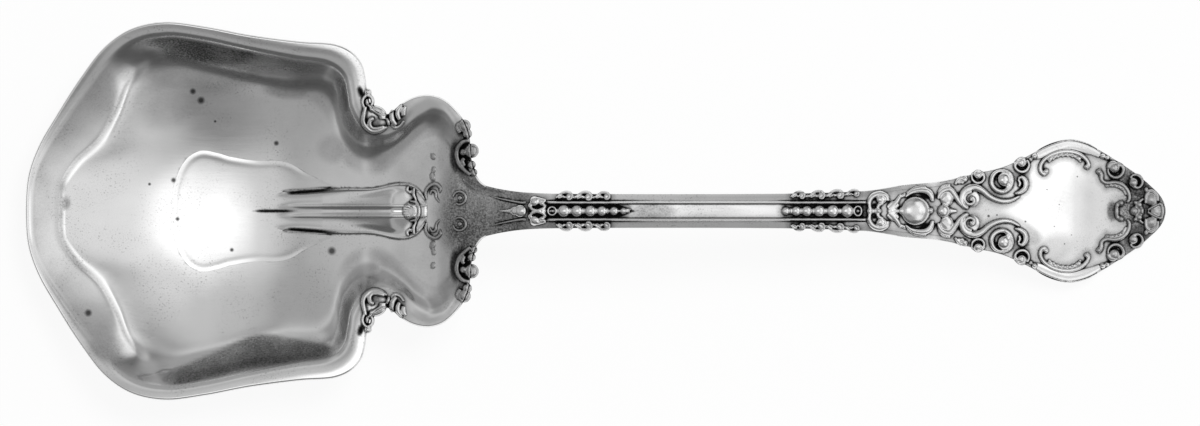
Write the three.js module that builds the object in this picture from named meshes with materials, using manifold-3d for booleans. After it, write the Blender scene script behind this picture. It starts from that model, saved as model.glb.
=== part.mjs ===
// Salad serving spoon in silver: a stamped bowl, a forged handle and cast ornament soldered on.
// Millimetres, +Z up. The spoon lies on its back on a table, with the handle towards +X.
// Its origin is on the table, under the middle of its length. The left side is -Y, as seen by
// the hand that holds it.

import * as THREE from "three";
import { mergeVertices } from "three/addons/utils/BufferGeometryUtils.js";
import Module from "manifold-3d";

const wasm = await Module();
wasm.setup();

// Driving dimensions
const BOWL_LENGTH = 92.4; // tip to the seam at the neck
const BOWL_WIDTH = 75.6;
const SHANK_LENGTH = 76.6; // seam to the upper collar
const SHANK_WIDTH = 6.8;
const TERMINAL_LENGTH = 59.6; // upper collar to the end
const TERMINAL_WIDTH = 28.4;
const NECK_WIDTH = 10;

const NECK_RISE = 18; // inside of the bowl at the neck, above its floor
const CREST_RISE = 3.6; // top of the handle's arch, above the neck
const SHEET = 1.2; // wall of the stamped bowl
const NECK_THICKNESS = 2.8;
const TERMINAL_THICKNESS = 2.2;
const NECK_BLEND = 30; // length over which the sheet thickens to the neck
const SQUARE_OFF = 8; // length over which the wall turns square to the seam

const CHANNEL_WIDTH = 2.9; // sunk strip between the rails, which holds the beads
const CHANNEL_DEPTH = 0.5;
const RAIL_WIDTH = 0.4;
const RAIL_HEIGHT = 0.2;
const REST_FLAT = 0.1; // taken off the handle's back where it rests on the table
const EDGE_DROP = 0.7; // how far the handle's top falls from its middle to its edge

const RELIEF = 1; // height of the cast ornament, as drawn below
const SEAT_GAP = 0.25; // solder between a piece of ornament and what carries it

// Facets
const STEPS_PER_STATION = 2;
const STEPS_PER_BAND = 2;
const DOME_SIDES = 8;
const STEPS_PER_POINT = 2;

// Plan of the spoon. Points are [along from the seam, across from the middle], as drawn for the
// sizes above, and the plan is stretched when one of those sizes changes.
// Each station of the bowl has the edge of its rim, the inner edge of the turned-out lip and the
// foot of the wall, from the tip round one side to the neck. Third values are heights above the floor.
const BOWL_STATIONS = [
  [[-92.4, 0, 8.6], [-91.2, 0, 8.2], [-84.4, 0, 1.4]],
  [[-91.9, 7, 8.7], [-90.7, 6.6, 8.3], [-84.1, 5.2, 1.5]],
  [[-89.9, 12.8, 9], [-88.6, 12, 8.6], [-82.7, 9.6, 1.7]],
  [[-86.1, 19.4, 9.6], [-84.6, 18.2, 9.1], [-78.3, 14.4, 1.9]],
  [[-81.3, 26.8, 10.6], [-79.5, 25.2, 10], [-74.7, 19.4, 2.1]],
  [[-76.3, 33, 11.6], [-74.7, 31, 10.9], [-71.5, 25.2, 2.4]],
  [[-70.9, 36.5, 12.3], [-70, 34, 11.6], [-67.9, 29, 2.7]],
  [[-64.3, 37.8, 12.7], [-64.1, 34.9, 11.9], [-62.9, 30.2, 2.9]],
  [[-56.3, 36.9, 12.9], [-56.7, 33.9, 12], [-56.3, 29.4, 3]],
  [[-47.3, 35.2, 13], [-47.9, 32, 12.1], [-47.7, 27.2, 3.2]],
  [[-37.3, 33.9, 13.2], [-38.2, 30.2, 12.2], [-39.1, 24.2, 3.6]],
  [[-30.1, 33.3, 13.3], [-32.1, 29.4, 12.3], [-34, 21.6, 4.2]],
  [[-26.9, 31.8, 13.3], [-29.8, 28.2, 12.3], [-32.3, 19, 4.7]],
  [[-24.9, 29.4, 13.2], [-28.5, 26.4, 12.2], [-31.5, 16.4, 5.2]],
  [[-24.1, 26.2, 13], [-27.9, 23.8, 12.1], [-30.7, 13.8, 5.7]],
  [[-23.7, 22.6, 12.8], [-27.2, 20.2, 12], [-29.1, 10.8, 6.4]],
  [[-22.1, 20, 12.8], [-24.8, 16.4, 12], [-25.9, 8.6, 7.4]],
  [[-19.7, 19.4, 13], [-20.7, 14.7, 12.2], [-22.1, 8.2, 8.8]],
  [[-17.3, 21.2, 13.6], [-16.4, 16.6, 12.9], [-18.5, 9.8, 10.4]],
  [[-14.9, 22.6, 14.3], [-13.8, 18.6, 13.6], [-15.3, 12.2, 11.8]],
  [[-11.7, 23.2, 15.1], [-11.2, 19.6, 14.4], [-12.5, 14.4, 13]],
  [[-8.7, 22.4, 15.8], [-9.1, 19, 15.1], [-10.3, 15.2, 14]],
  [[-6.3, 20.4, 16.4], [-7.4, 17.4, 15.7], [-8.5, 14.4, 14.8]],
  [[-4.5, 18, 16.8], [-6.1, 15.4, 16.1], [-7.3, 13, 15.4]],
  [[-3.5, 15.4, 17], [-5.4, 13.2, 16.4], [-6.5, 11.4, 15.8]],
  [[-3.1, 12.4, 17.2], [-5, 11, 16.7], [-5.9, 9.6, 16.2]],
  [[-2.9, 10, 17.3], [-4.5, 9, 17], [-5.2, 7.8, 16.6]],
  [[-2.3, 7.8, 17.5], [-3.6, 7, 17.3], [-4.2, 6, 17]],
  [[-1.2, 6, 17.8], [-2, 5.3, 17.6], [-2.5, 4.5, 17.4]],
  [[0, 5, 18], [0, 4.4, 17.8], [0, 3.6, 17.6]],
];
const SPINE_SHARE = 0.9; // the floor's middle lies this share of the foot's distance from the seam
const LEVEL_SHARE = 0.45; // the floor is level across this share of the way to the foot
const FLOOR_RISE = [[-92.4, 0], [-50, 0], [-42, 0.6], [-32, 3.5], [-22, 8.1], [-12, 13.1], [0, 17.6]];

// Half widths of the handle: of the shank from the seam, and of the terminal from the upper collar
const SHANK_EDGE = [[2.6, 4.4], [6.6, 3.8], [12, 3.5], [20, 3.4], [50, 3.4], [66, 3.6], [76.6, 4.1]];
const TERMINAL_EDGE = [
  [6, 5.1], [14, 5.9], [22, 7.7], [26, 8.6], [30, 10.2], [34, 12.2], [37, 13.5], [40, 14.2],
  [43, 13.7], [46, 12.4], [50, 10], [54, 7.3], [56.5, 5.2], [58.4, 3.3], [59.3, 1.8], [59.6, 0.7],
];

// Places along the handle, from the seam: both ends of the channel, and where the back touches the table
const CHANNEL_ENDS = [12.6, 75];
const REST_PLACES = [121, 127];

// Plan as drawn, and how it is stretched to the driving dimensions
const last = (list) => list[list.length - 1];
const most = (list, pick) => Math.max(...list.map(pick));
const drawn = {
  bowl: -BOWL_STATIONS[0][0][0],
  bowlHalf: most(BOWL_STATIONS, (station) => station[0][1]),
  neckHalf: last(BOWL_STATIONS)[0][1],
  neckRise: last(BOWL_STATIONS)[0][2],
  shank: last(SHANK_EDGE)[0],
  shankHalf: Math.min(...SHANK_EDGE.map((point) => point[1])),
  terminal: last(TERMINAL_EDGE)[0],
  terminalHalf: most(TERMINAL_EDGE, (point) => point[1]),
};

// A smooth curve through [place, value] points, read at any place.
function through(points) {
  const slope = (i) => {
    const a = points[Math.max(0, i - 1)];
    const b = points[Math.min(points.length - 1, i + 1)];
    return (b[1] - a[1]) / (b[0] - a[0]);
  };
  return (place) => {
    const at = THREE.MathUtils.clamp(place, points[0][0], last(points)[0]);
    const next = Math.max(1, points.findIndex((point) => point[0] >= at));
    const [x0, y0] = points[next - 1];
    const [x1, y1] = points[next];
    const span = x1 - x0;
    const t = (at - x0) / span;
    const rise = y1 - y0;
    const s0 = slope(next - 1) * span;
    const s1 = slope(next) * span;
    return y0 + t * (s0 + t * (3 * rise - 2 * s0 - s1 + t * (s0 + s1 - 2 * rise)));
  };
}

const HANDLE_LENGTH = SHANK_LENGTH + TERMINAL_LENGTH;
const handleDrawn = drawn.shank + drawn.terminal;

// Widths follow the neck at the seam, the shank past the neck and the terminal past its collar.
const widthShare = through([
  [0, NECK_WIDTH / 2 / drawn.neckHalf],
  [8, SHANK_WIDTH / 2 / drawn.shankHalf],
  [drawn.shank - 8, SHANK_WIDTH / 2 / drawn.shankHalf],
  [drawn.shank + 8, TERMINAL_WIDTH / 2 / drawn.terminalHalf],
  [handleDrawn, TERMINAL_WIDTH / 2 / drawn.terminalHalf],
]);
const bowlWidthShare = through([
  [-drawn.bowl, BOWL_WIDTH / 2 / drawn.bowlHalf],
  [-12, BOWL_WIDTH / 2 / drawn.bowlHalf],
  [0, NECK_WIDTH / 2 / drawn.neckHalf],
]);

// A point of the plan as drawn, moved to where it lies on this spoon.
function place(x, y) {
  if (x < 0) return [(x * BOWL_LENGTH) / drawn.bowl, y * bowlWidthShare(x)];
  const along = x < drawn.shank
    ? (x * SHANK_LENGTH) / drawn.shank
    : SHANK_LENGTH + ((x - drawn.shank) * TERMINAL_LENGTH) / drawn.terminal;
  return [along, y * widthShare(x)];
}

const DOWN = new THREE.Vector3(0, 0, -1);
const UP = new THREE.Vector3(0, 0, 1);

// Solids

function solidOf(geometry) {
  const bare = new THREE.BufferGeometry().setAttribute("position", geometry.getAttribute("position"));
  bare.setIndex(geometry.index);
  const merged = mergeVertices(bare, 1e-4);
  const triVerts = [];
  for (let i = 0; i < merged.index.count; i += 3) {
    const [a, b, c] = [0, 1, 2].map((k) => merged.index.getX(i + k));
    if (a !== b && b !== c && c !== a) triVerts.push(a, b, c);
  }
  const mesh = new wasm.Mesh({
    numProp: 3,
    vertProperties: merged.attributes.position.array,
    triVerts: new Uint32Array(triVerts),
  });
  return new wasm.Manifold(mesh);
}

function geometryOf(solid) {
  const mesh = solid.getMesh();
  return surface(mesh.vertProperties, mesh.triVerts);
}

function surface(positions, triangles) {
  const geometry = new THREE.BufferGeometry();
  geometry.setAttribute("position", new THREE.BufferAttribute(new Float32Array(positions), 3));
  geometry.setIndex(new THREE.BufferAttribute(new Uint32Array(triangles), 1));
  return geometry;
}

const fused = (geometries) => geometryOf(geometries.map(solidOf).reduce((a, b) => a.add(b)));

// Bowl

// One smooth rail through the same point of every station, both sides of the spoon.
function railOf(points) {
  const mirrored = points.slice(1).reverse().map(([x, y, z]) => [x, -y, z]);
  const all = [...mirrored, ...points].map(([x, y, z]) => new THREE.Vector3(x, y, z));
  return new THREE.CatmullRomCurve3(all, false, "centripetal");
}

function bowlGeometry() {
  const floorRise = through(FLOOR_RISE);
  const floorAt = (share) => BOWL_STATIONS.map(([, , foot]) => {
    const x = foot[0] * THREE.MathUtils.lerp(SPINE_SHARE, 1, share);
    return [x, foot[1] * share, floorRise(x)];
  });
  const rails = [0, 1, 2].map((k) => railOf(BOWL_STATIONS.map((station) => station[k])));
  rails.push(railOf(floorAt(LEVEL_SHARE)), railOf(floorAt(0)));

  const half = (BOWL_STATIONS.length - 1) * STEPS_PER_STATION;
  const rows = (rails.length - 1) * STEPS_PER_BAND;
  const columns = 2 * half + 1;
  const top = [];
  for (let column = 0; column < columns; column++) {
    const points = rails.map((rail) => rail.getPoint(column / (columns - 1)));
    const across = new THREE.CatmullRomCurve3(points, false, "centripetal");
    for (let row = 0; row <= rows; row++) {
      const p = across.getPoint(row / rows);
      const [x, y] = place(p.x, row === rows ? 0 : p.y);
      top.push(new THREE.Vector3(x, y, SHEET + Math.max(0, p.z) * (NECK_RISE / drawn.neckRise)));
    }
  }
  // Both halves share the points of the spine.
  const index = (column, row) =>
    row === rows ? (half + Math.abs(column - half)) * (rows + 1) + row : column * (rows + 1) + row;

  const faces = [];
  for (let column = 0; column < columns - 1; column++)
    for (let row = 0; row < rows; row++) {
      const [a, b] = [index(column, row), index(column + 1, row)];
      const [c, d] = [index(column + 1, row + 1), index(column, row + 1)];
      if (c === d) faces.push([a, c, b]);
      else faces.push([a, c, b], [a, d, c]);
    }

  const normals = top.map(() => new THREE.Vector3());
  for (const [a, b, c] of faces) {
    const normal = top[b].clone().sub(top[a]).cross(top[c].clone().sub(top[a]));
    for (const k of [a, b, c]) normals[k].add(normal);
  }
  const under = top.map((point, k) => {
    const normal = normals[k].normalize();
    const nearSeam = THREE.MathUtils.smoothstep(point.x, -SQUARE_OFF, 0);
    if (k % (rows + 1) === 0) normal.copy(UP); // the rim is cut square
    normal.lerp(UP, nearSeam).normalize(); // and so is the end at the seam
    const blend = THREE.MathUtils.smoothstep(point.x, -NECK_BLEND, 0);
    const wall = THREE.MathUtils.lerp(SHEET, NECK_THICKNESS, blend);
    const low = point.clone().addScaledVector(normal, -wall);
    low.z = Math.max(0, low.z);
    return low;
  });

  const count = top.length;
  const edge = [];
  for (let column = 0; column < columns; column++) edge.push(index(column, 0));
  for (let row = 1; row <= rows; row++) edge.push(index(columns - 1, row));
  for (let row = rows - 1; row > 0; row--) edge.push(index(0, row));
  const triangles = faces.flatMap(([a, b, c]) => [a, b, c, a + count, c + count, b + count]);
  edge.forEach((a, k) => {
    const b = edge[(k + 1) % edge.length];
    triangles.push(a, b, b + count, a, b + count, a + count);
  });
  return surface([...top, ...under].flatMap((p) => [p.x, p.y, p.z]), triangles);
}

// Handle

const neckTop = SHEET + NECK_RISE;
const edgeAt = through([
  [0, drawn.neckHalf],
  ...SHANK_EDGE,
  ...TERMINAL_EDGE.map(([x, half]) => [x + drawn.shank, half]),
]);
const thicknessAt = through([
  [0, NECK_THICKNESS],
  [drawn.shank, NECK_THICKNESS],
  [110, TERMINAL_THICKNESS],
  [handleDrawn, TERMINAL_THICKNESS],
]);
const archAt = through([
  [0, neckTop],
  [22, neckTop + CREST_RISE],
  [42, neckTop + CREST_RISE],
  [drawn.shank, neckTop - 1],
  [102, neckTop * 0.45 + TERMINAL_THICKNESS],
  [REST_PLACES[0], TERMINAL_THICKNESS + 0.6],
  [REST_PLACES[1], TERMINAL_THICKNESS - REST_FLAT],
  [handleDrawn, TERMINAL_THICKNESS + 0.9],
]);

// The handle's outline across, right half from the middle of its top round to the middle of its back.
function handleSection(x) {
  const half = edgeAt(x) * widthShare(x);
  const thickness = thicknessAt(x);
  const [start, end] = CHANNEL_ENDS;
  const rising = THREE.MathUtils.smoothstep(x, start - 1, start);
  const inChannel = rising * (1 - THREE.MathUtils.smoothstep(x, end, end + 1));
  const floor = -CHANNEL_DEPTH * inChannel;
  const rail = RAIL_HEIGHT * inChannel;
  const wall = Math.min(CHANNEL_WIDTH / 2, half * 0.42);
  const top = Math.min(RAIL_WIDTH, half * 0.12);
  const drop = Math.min(EDGE_DROP, thickness * 0.4);
  return [
    [0, floor],
    [wall, floor],
    [wall + top * 0.25, rail],
    [wall + top, rail],
    [wall + top * 1.5, -drop * 0.2],
    [(wall + half) / 2 + top, -drop * 0.4],
    [half, -drop],
    [half, -drop - (thickness - drop) * 0.4],
    [half * 0.75, -thickness],
    [0, -thickness],
  ];
}

function handleGeometry() {
  const [start, end] = CHANNEL_ENDS;
  const places = [0, 1.3, 2.6, 4.6, 6.6, 9, start - 1, start - 0.5, start];
  for (let x = start + 3.4; x < end; x += 4) places.push(x);
  places.push(end, end + 0.5, end + 1);
  for (let x = end + 3; x < handleDrawn - 5; x += 2) places.push(x);
  places.push(...TERMINAL_EDGE.slice(-5).map(([x]) => x + drawn.shank));

  const positions = [];
  let ring = 0;
  for (const x of places) {
    const half = handleSection(x);
    const whole = [...half, ...half.slice(1, -1).reverse().map(([y, z]) => [-y, z])];
    ring = whole.length;
    const [along] = place(x, 0);
    for (const [y, z] of whole) positions.push(along, y, Math.max(0, archAt(x) + z));
  }
  const triangles = [];
  for (let station = 0; station < places.length - 1; station++)
    for (let k = 0; k < ring; k++) {
      const [a, b] = [station * ring + k, station * ring + ((k + 1) % ring)];
      triangles.push(a, b + ring, b, a, a + ring, b + ring);
    }
  const tip = (places.length - 1) * ring;
  for (let k = 1; k < ring - 1; k++) triangles.push(0, k, k + 1, tip, tip + k + 1, tip + k);
  return surface(positions, triangles);
}

// Ornament, drawn flat in plan with its back at height 0

const DOME = [[0, 0], [1, 0], [0.78, 0.72], [0, 1]];
const ROUND = [[-1, 0], [-0.72, 0.75], [0, 1], [0.72, 0.75], [1, 0]];
// Extra points for a wide piece on a curved carrier
const BACK = [[0.75, 0], [0.5, 0], [0.25, 0], [0, 0], [-0.25, 0], [-0.5, 0], [-0.75, 0]];
const FLUTED = [[-1, 0], [-0.88, 1], [-0.46, 0.55], [0, 1], [0.46, 0.55], [0.88, 1], [1, 0], ...BACK];
const PLATE = [[-1, 0], [-0.96, 1], [-0.5, 1], [0, 1], [0.5, 1], [0.96, 1], [1, 0], ...BACK];

function bead([x, y], radius, height, stretch = 1, turn = 0) {
  const outline = DOME.map(([r, z]) => new THREE.Vector2(r * radius, z * height * RELIEF));
  return new THREE.LatheGeometry(outline, DOME_SIDES)
    .rotateX(Math.PI / 2)
    .scale(1, stretch, 1)
    .rotateZ(turn)
    .translate(x, y, 0);
}

// A bar of the given section along a plan curve. Widths and heights run evenly along the points.
function scroll(points, halfWidths, height, section = ROUND) {
  const curve = new THREE.CatmullRomCurve3(points.map(([x, y]) => new THREE.Vector3(x, y, 0)));
  const steps = (points.length - 1) * STEPS_PER_POINT;
  const widthAt = through(halfWidths.map((width, k) => [k / (halfWidths.length - 1), width]));
  const widest = Math.max(...halfWidths);
  const positions = [];
  for (let step = 0; step <= steps; step++) {
    const t = step / steps;
    const at = curve.getPoint(t);
    const along = curve.getTangent(t);
    const width = widthAt(t);
    const rise = height * RELIEF * (0.45 + (0.55 * width) / widest);
    for (const [across, up] of section)
      positions.push(at.x + along.y * across * width, at.y - along.x * across * width, up * rise);
  }
  const ring = section.length;
  const triangles = [];
  for (let step = 0; step < steps; step++)
    for (let k = 0; k < ring; k++) {
      const [a, b] = [step * ring + k, step * ring + ((k + 1) % ring)];
      triangles.push(a, b, b + ring, a, b + ring, a + ring);
    }
  const end = steps * ring;
  for (let k = 1; k < ring - 1; k++) triangles.push(0, k + 1, k, end, end + k, end + k + 1);
  return surface(positions, triangles);
}

// A roundel: a ring, open on one side, that curls round a dome. The ring's middle lies towards turn.
function curl([x, y], radius, height, turn) {
  const wire = radius * 0.17;
  const set = radius * 0.28;
  const ring = [-2.2, -1.5, -0.75, 0, 0.75, 1.5, 2.2].map((angle) => [
    x + Math.cos(turn + angle) * (radius - wire),
    y + Math.sin(turn + angle) * (radius - wire),
  ]);
  return [
    bead([x, y], radius * 0.9, height * 0.4),
    scroll(ring, [0.7, 1, 1, 1, 1, 1, 0.7].map((share) => share * wire), height * 0.8),
    bead([x - Math.cos(turn) * set, y - Math.sin(turn) * set], radius * 0.6, height),
  ];
}

const probe = new THREE.Raycaster();
const FAR_AWAY = 200;

// Height of the carriers' surface at a point of the plan. Past their edge it is the height on the
// way back to the piece's middle.
function heightOn(carriers, x, y, middle, from = DOWN) {
  for (let back = 0; back <= 1; back += 0.05) {
    const start = new THREE.Vector3(
      THREE.MathUtils.lerp(x, middle.x, back),
      THREE.MathUtils.lerp(y, middle.y, back),
      -FAR_AWAY * from.z,
    );
    probe.set(start, from);
    const [hit] = probe.intersectObjects(carriers);
    if (hit) return hit.point.z;
  }
  throw new Error(`nothing carries the piece at ${x.toFixed(1)}, ${y.toFixed(1)}`);
}

// Stretches flat ornament to this spoon's plan and lays it on what carries it.
function laidOn(carriers, geometry, from = DOWN) {
  const points = geometry.getAttribute("position");
  for (let k = 0; k < points.count; k++)
    points.setXY(k, ...place(points.getX(k), points.getY(k)));
  geometry.computeBoundingBox();
  const middle = geometry.boundingBox.getCenter(new THREE.Vector3());
  for (let k = 0; k < points.count; k++) {
    const seat = heightOn(carriers, points.getX(k), points.getY(k), middle, from);
    points.setZ(k, seat - from.z * (SEAT_GAP + points.getZ(k)));
  }
  return geometry;
}

const polished = new THREE.MeshStandardMaterial({ color: 0xd8d8d6, metalness: 1, roughness: 0.2 });
const forged = new THREE.MeshStandardMaterial({ color: 0xcfcfcd, metalness: 1, roughness: 0.28 });
const cast = new THREE.MeshStandardMaterial({ color: 0xb4b4b2, metalness: 1, roughness: 0.35 });

function meshOf(name, geometry, material) {
  const mesh = new THREE.Mesh(geometry, material);
  mesh.name = name;
  return mesh;
}

const spoon = new THREE.Group();
const bowl = meshOf("bowl", bowlGeometry(), polished);
const handle = meshOf("handle", handleGeometry(), forged);
spoon.add(bowl, handle);

const SIDES = [["left", -1], ["right", 1]];

function ornament(name, carriers, geometries) {
  const mesh = meshOf(name, laidOn(carriers, fused(geometries)), cast);
  spoon.add(mesh);
  return mesh;
}

// A pair of ornaments, one on each side. draw gets a function that puts a point on that side.
function pair(name, carriers, draw) {
  for (const [word, side] of SIDES)
    ornament(`${name}_${word}`, carriers, draw((x, y) => [x, y * side], side));
}

// Heel of the bowl

const lobeSpine = [
  [-63.8, 0], [-62.6, 0], [-60.4, 0], [-57, 0], [-51.6, 0], [-46, 0], [-40, 0],
  [-36, 0], [-29.4, 0], [-23, 0], [-18, 0], [-15, 0], [-12.9, 0],
];
const lobeHalf = [3, 7.6, 11, 12.6, 11.4, 10.4, 10.2, 8, 5, 4.4, 5.6, 5.6, 4.4];
const fluteSpine = [[-48.2, 0], [-42, 0], [-34, 0], [-26, 0], [-20, 0], [-17.2, 0]];
const fluteHalf = [0.4, 2.8, 3.7, 4.1, 4.8, 4.4];
const tongue = ornament("bowl_tongue", [bowl], [
  scroll(lobeSpine, lobeHalf, 0.4, PLATE),
  scroll(fluteSpine, fluteHalf, 0.9, FLUTED),
]);
ornament("tongue_boss", [tongue, bowl], [
  bead([-15.2, 0], 1.8, 1, 1.15),
  ...SIDES.map(([, side]) =>
    scroll(
      [[-14.1, 1.2 * side], [-14.3, 2.4 * side], [-14.6, 3.4 * side], [-14.4, 4.6 * side]],
      [0.4, 0.3, 0.45, 0.3],
      0.8,
    )),
]);

pair("notch_scroll", [bowl], (at) => [
  scroll(
    [
      at(-20.6, 18.2), at(-20.6, 19.3), at(-21.5, 20), at(-22.8, 20.1), at(-23.9, 19.5),
      at(-24.5, 18.4), at(-24.2, 17.1), at(-23.1, 16.3), at(-21.6, 16.4), at(-20.2, 17.2),
    ],
    [0.5, 0.55, 0.5, 0.45, 0.45, 0.5, 0.5, 0.4, 0.4, 0.25],
    1,
  ),
  bead(at(-22.4, 18.2), 2.1, 0.4),
  scroll([at(-22.6, 18.6), at(-23.1, 18), at(-23.1, 17.3), at(-22.6, 16.7)], [0.6, 0.5, 0.45, 0.4], 0.9),
  scroll(
    [at(-24.1, 19.6), at(-24.4, 21), at(-24.7, 22.3), at(-24.5, 23.5), at(-23.8, 23.8)],
    [0.35, 0.35, 0.4, 0.6, 0.5],
    0.8,
  ),
  bead(at(-23.8, 22.2), 0.65, 0.9, 1.7),
]);

pair("notch_leaf", [bowl], (at) => [
  bead(at(-17.6, 19), 1.6, 0.35),
  scroll([at(-18.9, 19.6), at(-18.8, 18.7), at(-18.1, 17.5)], [0.4, 0.55, 0.4], 0.9),
  scroll([at(-17.3, 20.8), at(-17.7, 19.8), at(-17.4, 18.4)], [0.4, 0.5, 0.4], 0.9),
  scroll([at(-16.2, 20.9), at(-16.7, 19.9), at(-16.5, 18.9)], [0.3, 0.45, 0.3], 0.7),
]);

pair("shoulder_scroll", [bowl], (at, side) => [
  scroll(
    [at(-4.6, 17.2), at(-5, 15), at(-4.8, 12.4), at(-4, 9.8), at(-3.3, 7.6)],
    [0.5, 0.8, 1, 0.8, 0.4],
    0.5,
  ),
  bead(at(-4.5, 17), 1.25, 1),
  bead(at(-4.1, 15.3), 0.85, 0.8),
  ...curl(at(-4.1, 12.2), 2.1, 1.2, side * 3.1),
  scroll([at(-4.4, 10.2), at(-4.8, 9.3), at(-4.2, 8.2)], [0.55, 0.5, 0.35], 0.9),
  bead(at(-3.1, 9.1), 0.9, 1),
  bead(at(-2.9, 7.4), 0.75, 0.9),
]);

pair("heel_scroll", [bowl], (at, side) => [
  ...curl(at(-10.5, 4.3), 1.85, 0.9, side * -2.8),
  bead(at(-9.4, 5.6), 0.9, 0.9),
]);
pair("heel_volute", [bowl], (at, side) => curl(at(-5.6, 2.9), 1.55, 0.8, side * 0.6));
pair("heel_sprig", [bowl], (at) => [
  scroll([at(-10.7, 7), at(-11, 8.6), at(-10.8, 10.4), at(-10.6, 11.6)], [0.5, 0.35, 0.3, 0.2], 0.5),
  bead(at(-10.5, 7.8), 0.8, 0.6),
  bead(at(-10.5, 11), 0.6, 0.5),
]);

// Drop on the back of the neck, which laps the seam between bowl and handle
const dropSpine = [[-12, 0], [-9, 0], [-5, 0], [-2.4, 0], [-0.8, 0], [0.6, 0], [4, 0], [8, 0]];
const dropHalf = [1.2, 2.6, 3, 2.95, 2.9, 2.9, 2.5, 1.6];
const heelDrop = laidOn([bowl, handle], scroll(dropSpine, dropHalf, 0.9, [...ROUND, ...BACK]), UP);
heelDrop.index.array.reverse();
spoon.add(meshOf("heel_drop", heelDrop, forged));

// Shank

pair("neck_rail", [handle], (at) => [
  scroll([at(0.3, 3.2), at(2.6, 2.5), at(5, 2), at(7.2, 1.7)], [0.15, 0.2, 0.2, 0.2], 0.4),
]);

ornament("lower_collar", [handle], [
  scroll([[11.2, 2], [10.8, 0.7], [10.8, -0.7], [11.2, -2]], [0.6, 0.8, 0.8, 0.6], 0.6),
  bead([7.9, 0], 0.95, 0.8, 1.2),
  ...SIDES.flatMap(([, side]) => [
    scroll([[8.1, 0.7 * side], [8.4, 1.5 * side], [9, 2.2 * side]], [0.3, 0.3, 0.3], 0.6),
    bead([9.4, 2.2 * side], 1.2, 0.9),
    bead([10.8, 1.8 * side], 0.7, 0.9),
  ]),
]);

// Graduated beads on one strip of wire, sized to the channel's width, with thin reels between them
const CHANNEL_CLEARANCE = 0.25;
const widestBead = CHANNEL_WIDTH / 2 - CHANNEL_CLEARANCE;
function beadStrip(name, places, shares, reels, from, to) {
  ornament(name, [handle], [
    scroll([[from, 0], [(from + to) / 2, 0], [to, 0]], [0.35, 0.35, 0.35], 0.3),
    ...places.map((x, k) => bead([x, 0], widestBead * shares[k], 0.75 * shares[k] + 0.1)),
    ...reels.map((x) => bead([x, 0], 0.3, 0.5, 2.4)),
  ]);
}
beadStrip(
  "lower_beads",
  [13.3, 15.4, 18, 20.7, 23, 25.4, 27.4],
  [0.85, 0.8, 0.76, 0.7, 0.64, 0.58, 0.5],
  [16.7, 19.4, 22, 24.2, 26.4],
  13,
  28.4,
);
beadStrip(
  "upper_beads",
  [59.6, 61.6, 63.8, 66.3, 69, 71.8, 74],
  [0.56, 0.62, 0.7, 0.8, 0.88, 0.95, 0.7],
  [60.6, 62.7, 65, 67.6, 70.4],
  59,
  74.6,
);

function edgeScrolls(name, places, radii, from, to) {
  const stem = [0, 0.33, 0.67, 1].map((share) => THREE.MathUtils.lerp(from, to, share));
  pair(name, [handle], (at) => [
    scroll(stem.map((x) => at(x, edgeAt(x) - 0.55)), [0.3, 0.45, 0.45, 0.3], 0.5),
    ...places.map((x, k) => bead(at(x, edgeAt(x) - 0.35), radii[k], 0.85)),
  ]);
}
edgeScrolls("lower_edge_scrolls", [16.2, 19.4, 22.8], [0.8, 0.9, 0.85], 13.8, 24.8);
edgeScrolls("upper_edge_scrolls", [62.2, 66.2, 69.8, 73], [0.75, 0.85, 0.95, 0.7], 60.6, 74.2);

ornament("upper_collar", [handle], [
  bead([77.2, 0], 0.95, 0.9, 2),
  ...SIDES.map(([, side]) => bead([77.9, 2.5 * side], 1.35, 1, 1.35, side * -1.2)),
]);

// Terminal

ornament("husk", [handle], [
  bead([80.7, 0], 1, 0.7),
  ...SIDES.map(([, side]) =>
    scroll([[80.6, 0.4 * side], [81.5, 1.7 * side], [82.5, 3.2 * side]], [0.5, 0.5, 0.3], 0.7)),
]);
ornament("bud", [handle], [
  bead([85.4, 0], 2.8, 1.4),
  scroll([[82.2, 0], [83.6, 0], [85, 0]], [0.4, 1.5, 2.4], 1),
  bead([88.4, 0], 0.7, 0.9),
]);
pair("bud_calyx", [handle], (at) => [
  scroll(
    [at(83.8, 3.1), at(85, 3.9), at(86.6, 4.1), at(88, 3.8), at(88.9, 2.8), at(89.1, 1.6)],
    [0.2, 0.35, 0.4, 0.5, 0.4, 0.3],
    0.8,
  ),
]);
ornament("palmette", [handle], [
  bead([91.2, 0], 1.4, 1),
  ...SIDES.flatMap(([, side]) => [
    bead([91.8, 2.9 * side], 1.4, 0.7, 1.1),
    scroll(
      [[90.5, 2.6 * side], [91, 3.8 * side], [92.2, 4.4 * side], [93.2, 3.3 * side], [93.9, 1.7 * side]],
      [0.3, 0.45, 0.5, 0.4, 0.3],
      0.9,
    ),
    scroll([[91.5, 0.8 * side], [91.4, 1.9 * side], [91.8, 2.9 * side]], [0.4, 0.4, 0.4], 0.6),
  ]),
]);
pair("volute", [handle], (at) => [
  scroll(
    [
      at(95.8, 0.7), at(95, 1.6), at(94.9, 2.9), at(95.6, 4.1), at(96.8, 4.7), at(98.1, 4.6),
      at(99.3, 3.9), at(100.5, 2.9), at(101.9, 2.2), at(103.4, 1.9), at(105, 2.2), at(106.2, 2.7),
    ],
    [0.35, 0.4, 0.45, 0.45, 0.45, 0.45, 0.4, 0.4, 0.4, 0.35, 0.3, 0.2],
    0.9,
  ),
  bead(at(96.8, 2.5), 1.85, 0.4),
  bead(at(96.8, 2.3), 0.8, 1),
]);
pair("edge_sprig", [handle], (at) => [
  bead(at(95.4, 6.4), 0.75, 0.7),
  bead(at(94.2, 6), 0.65, 0.6, 1.3),
]);
pair("small_roundel", [handle], (at, side) => curl(at(98.2, 6.9), 1.6, 1.1, side * -1.6));
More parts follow.
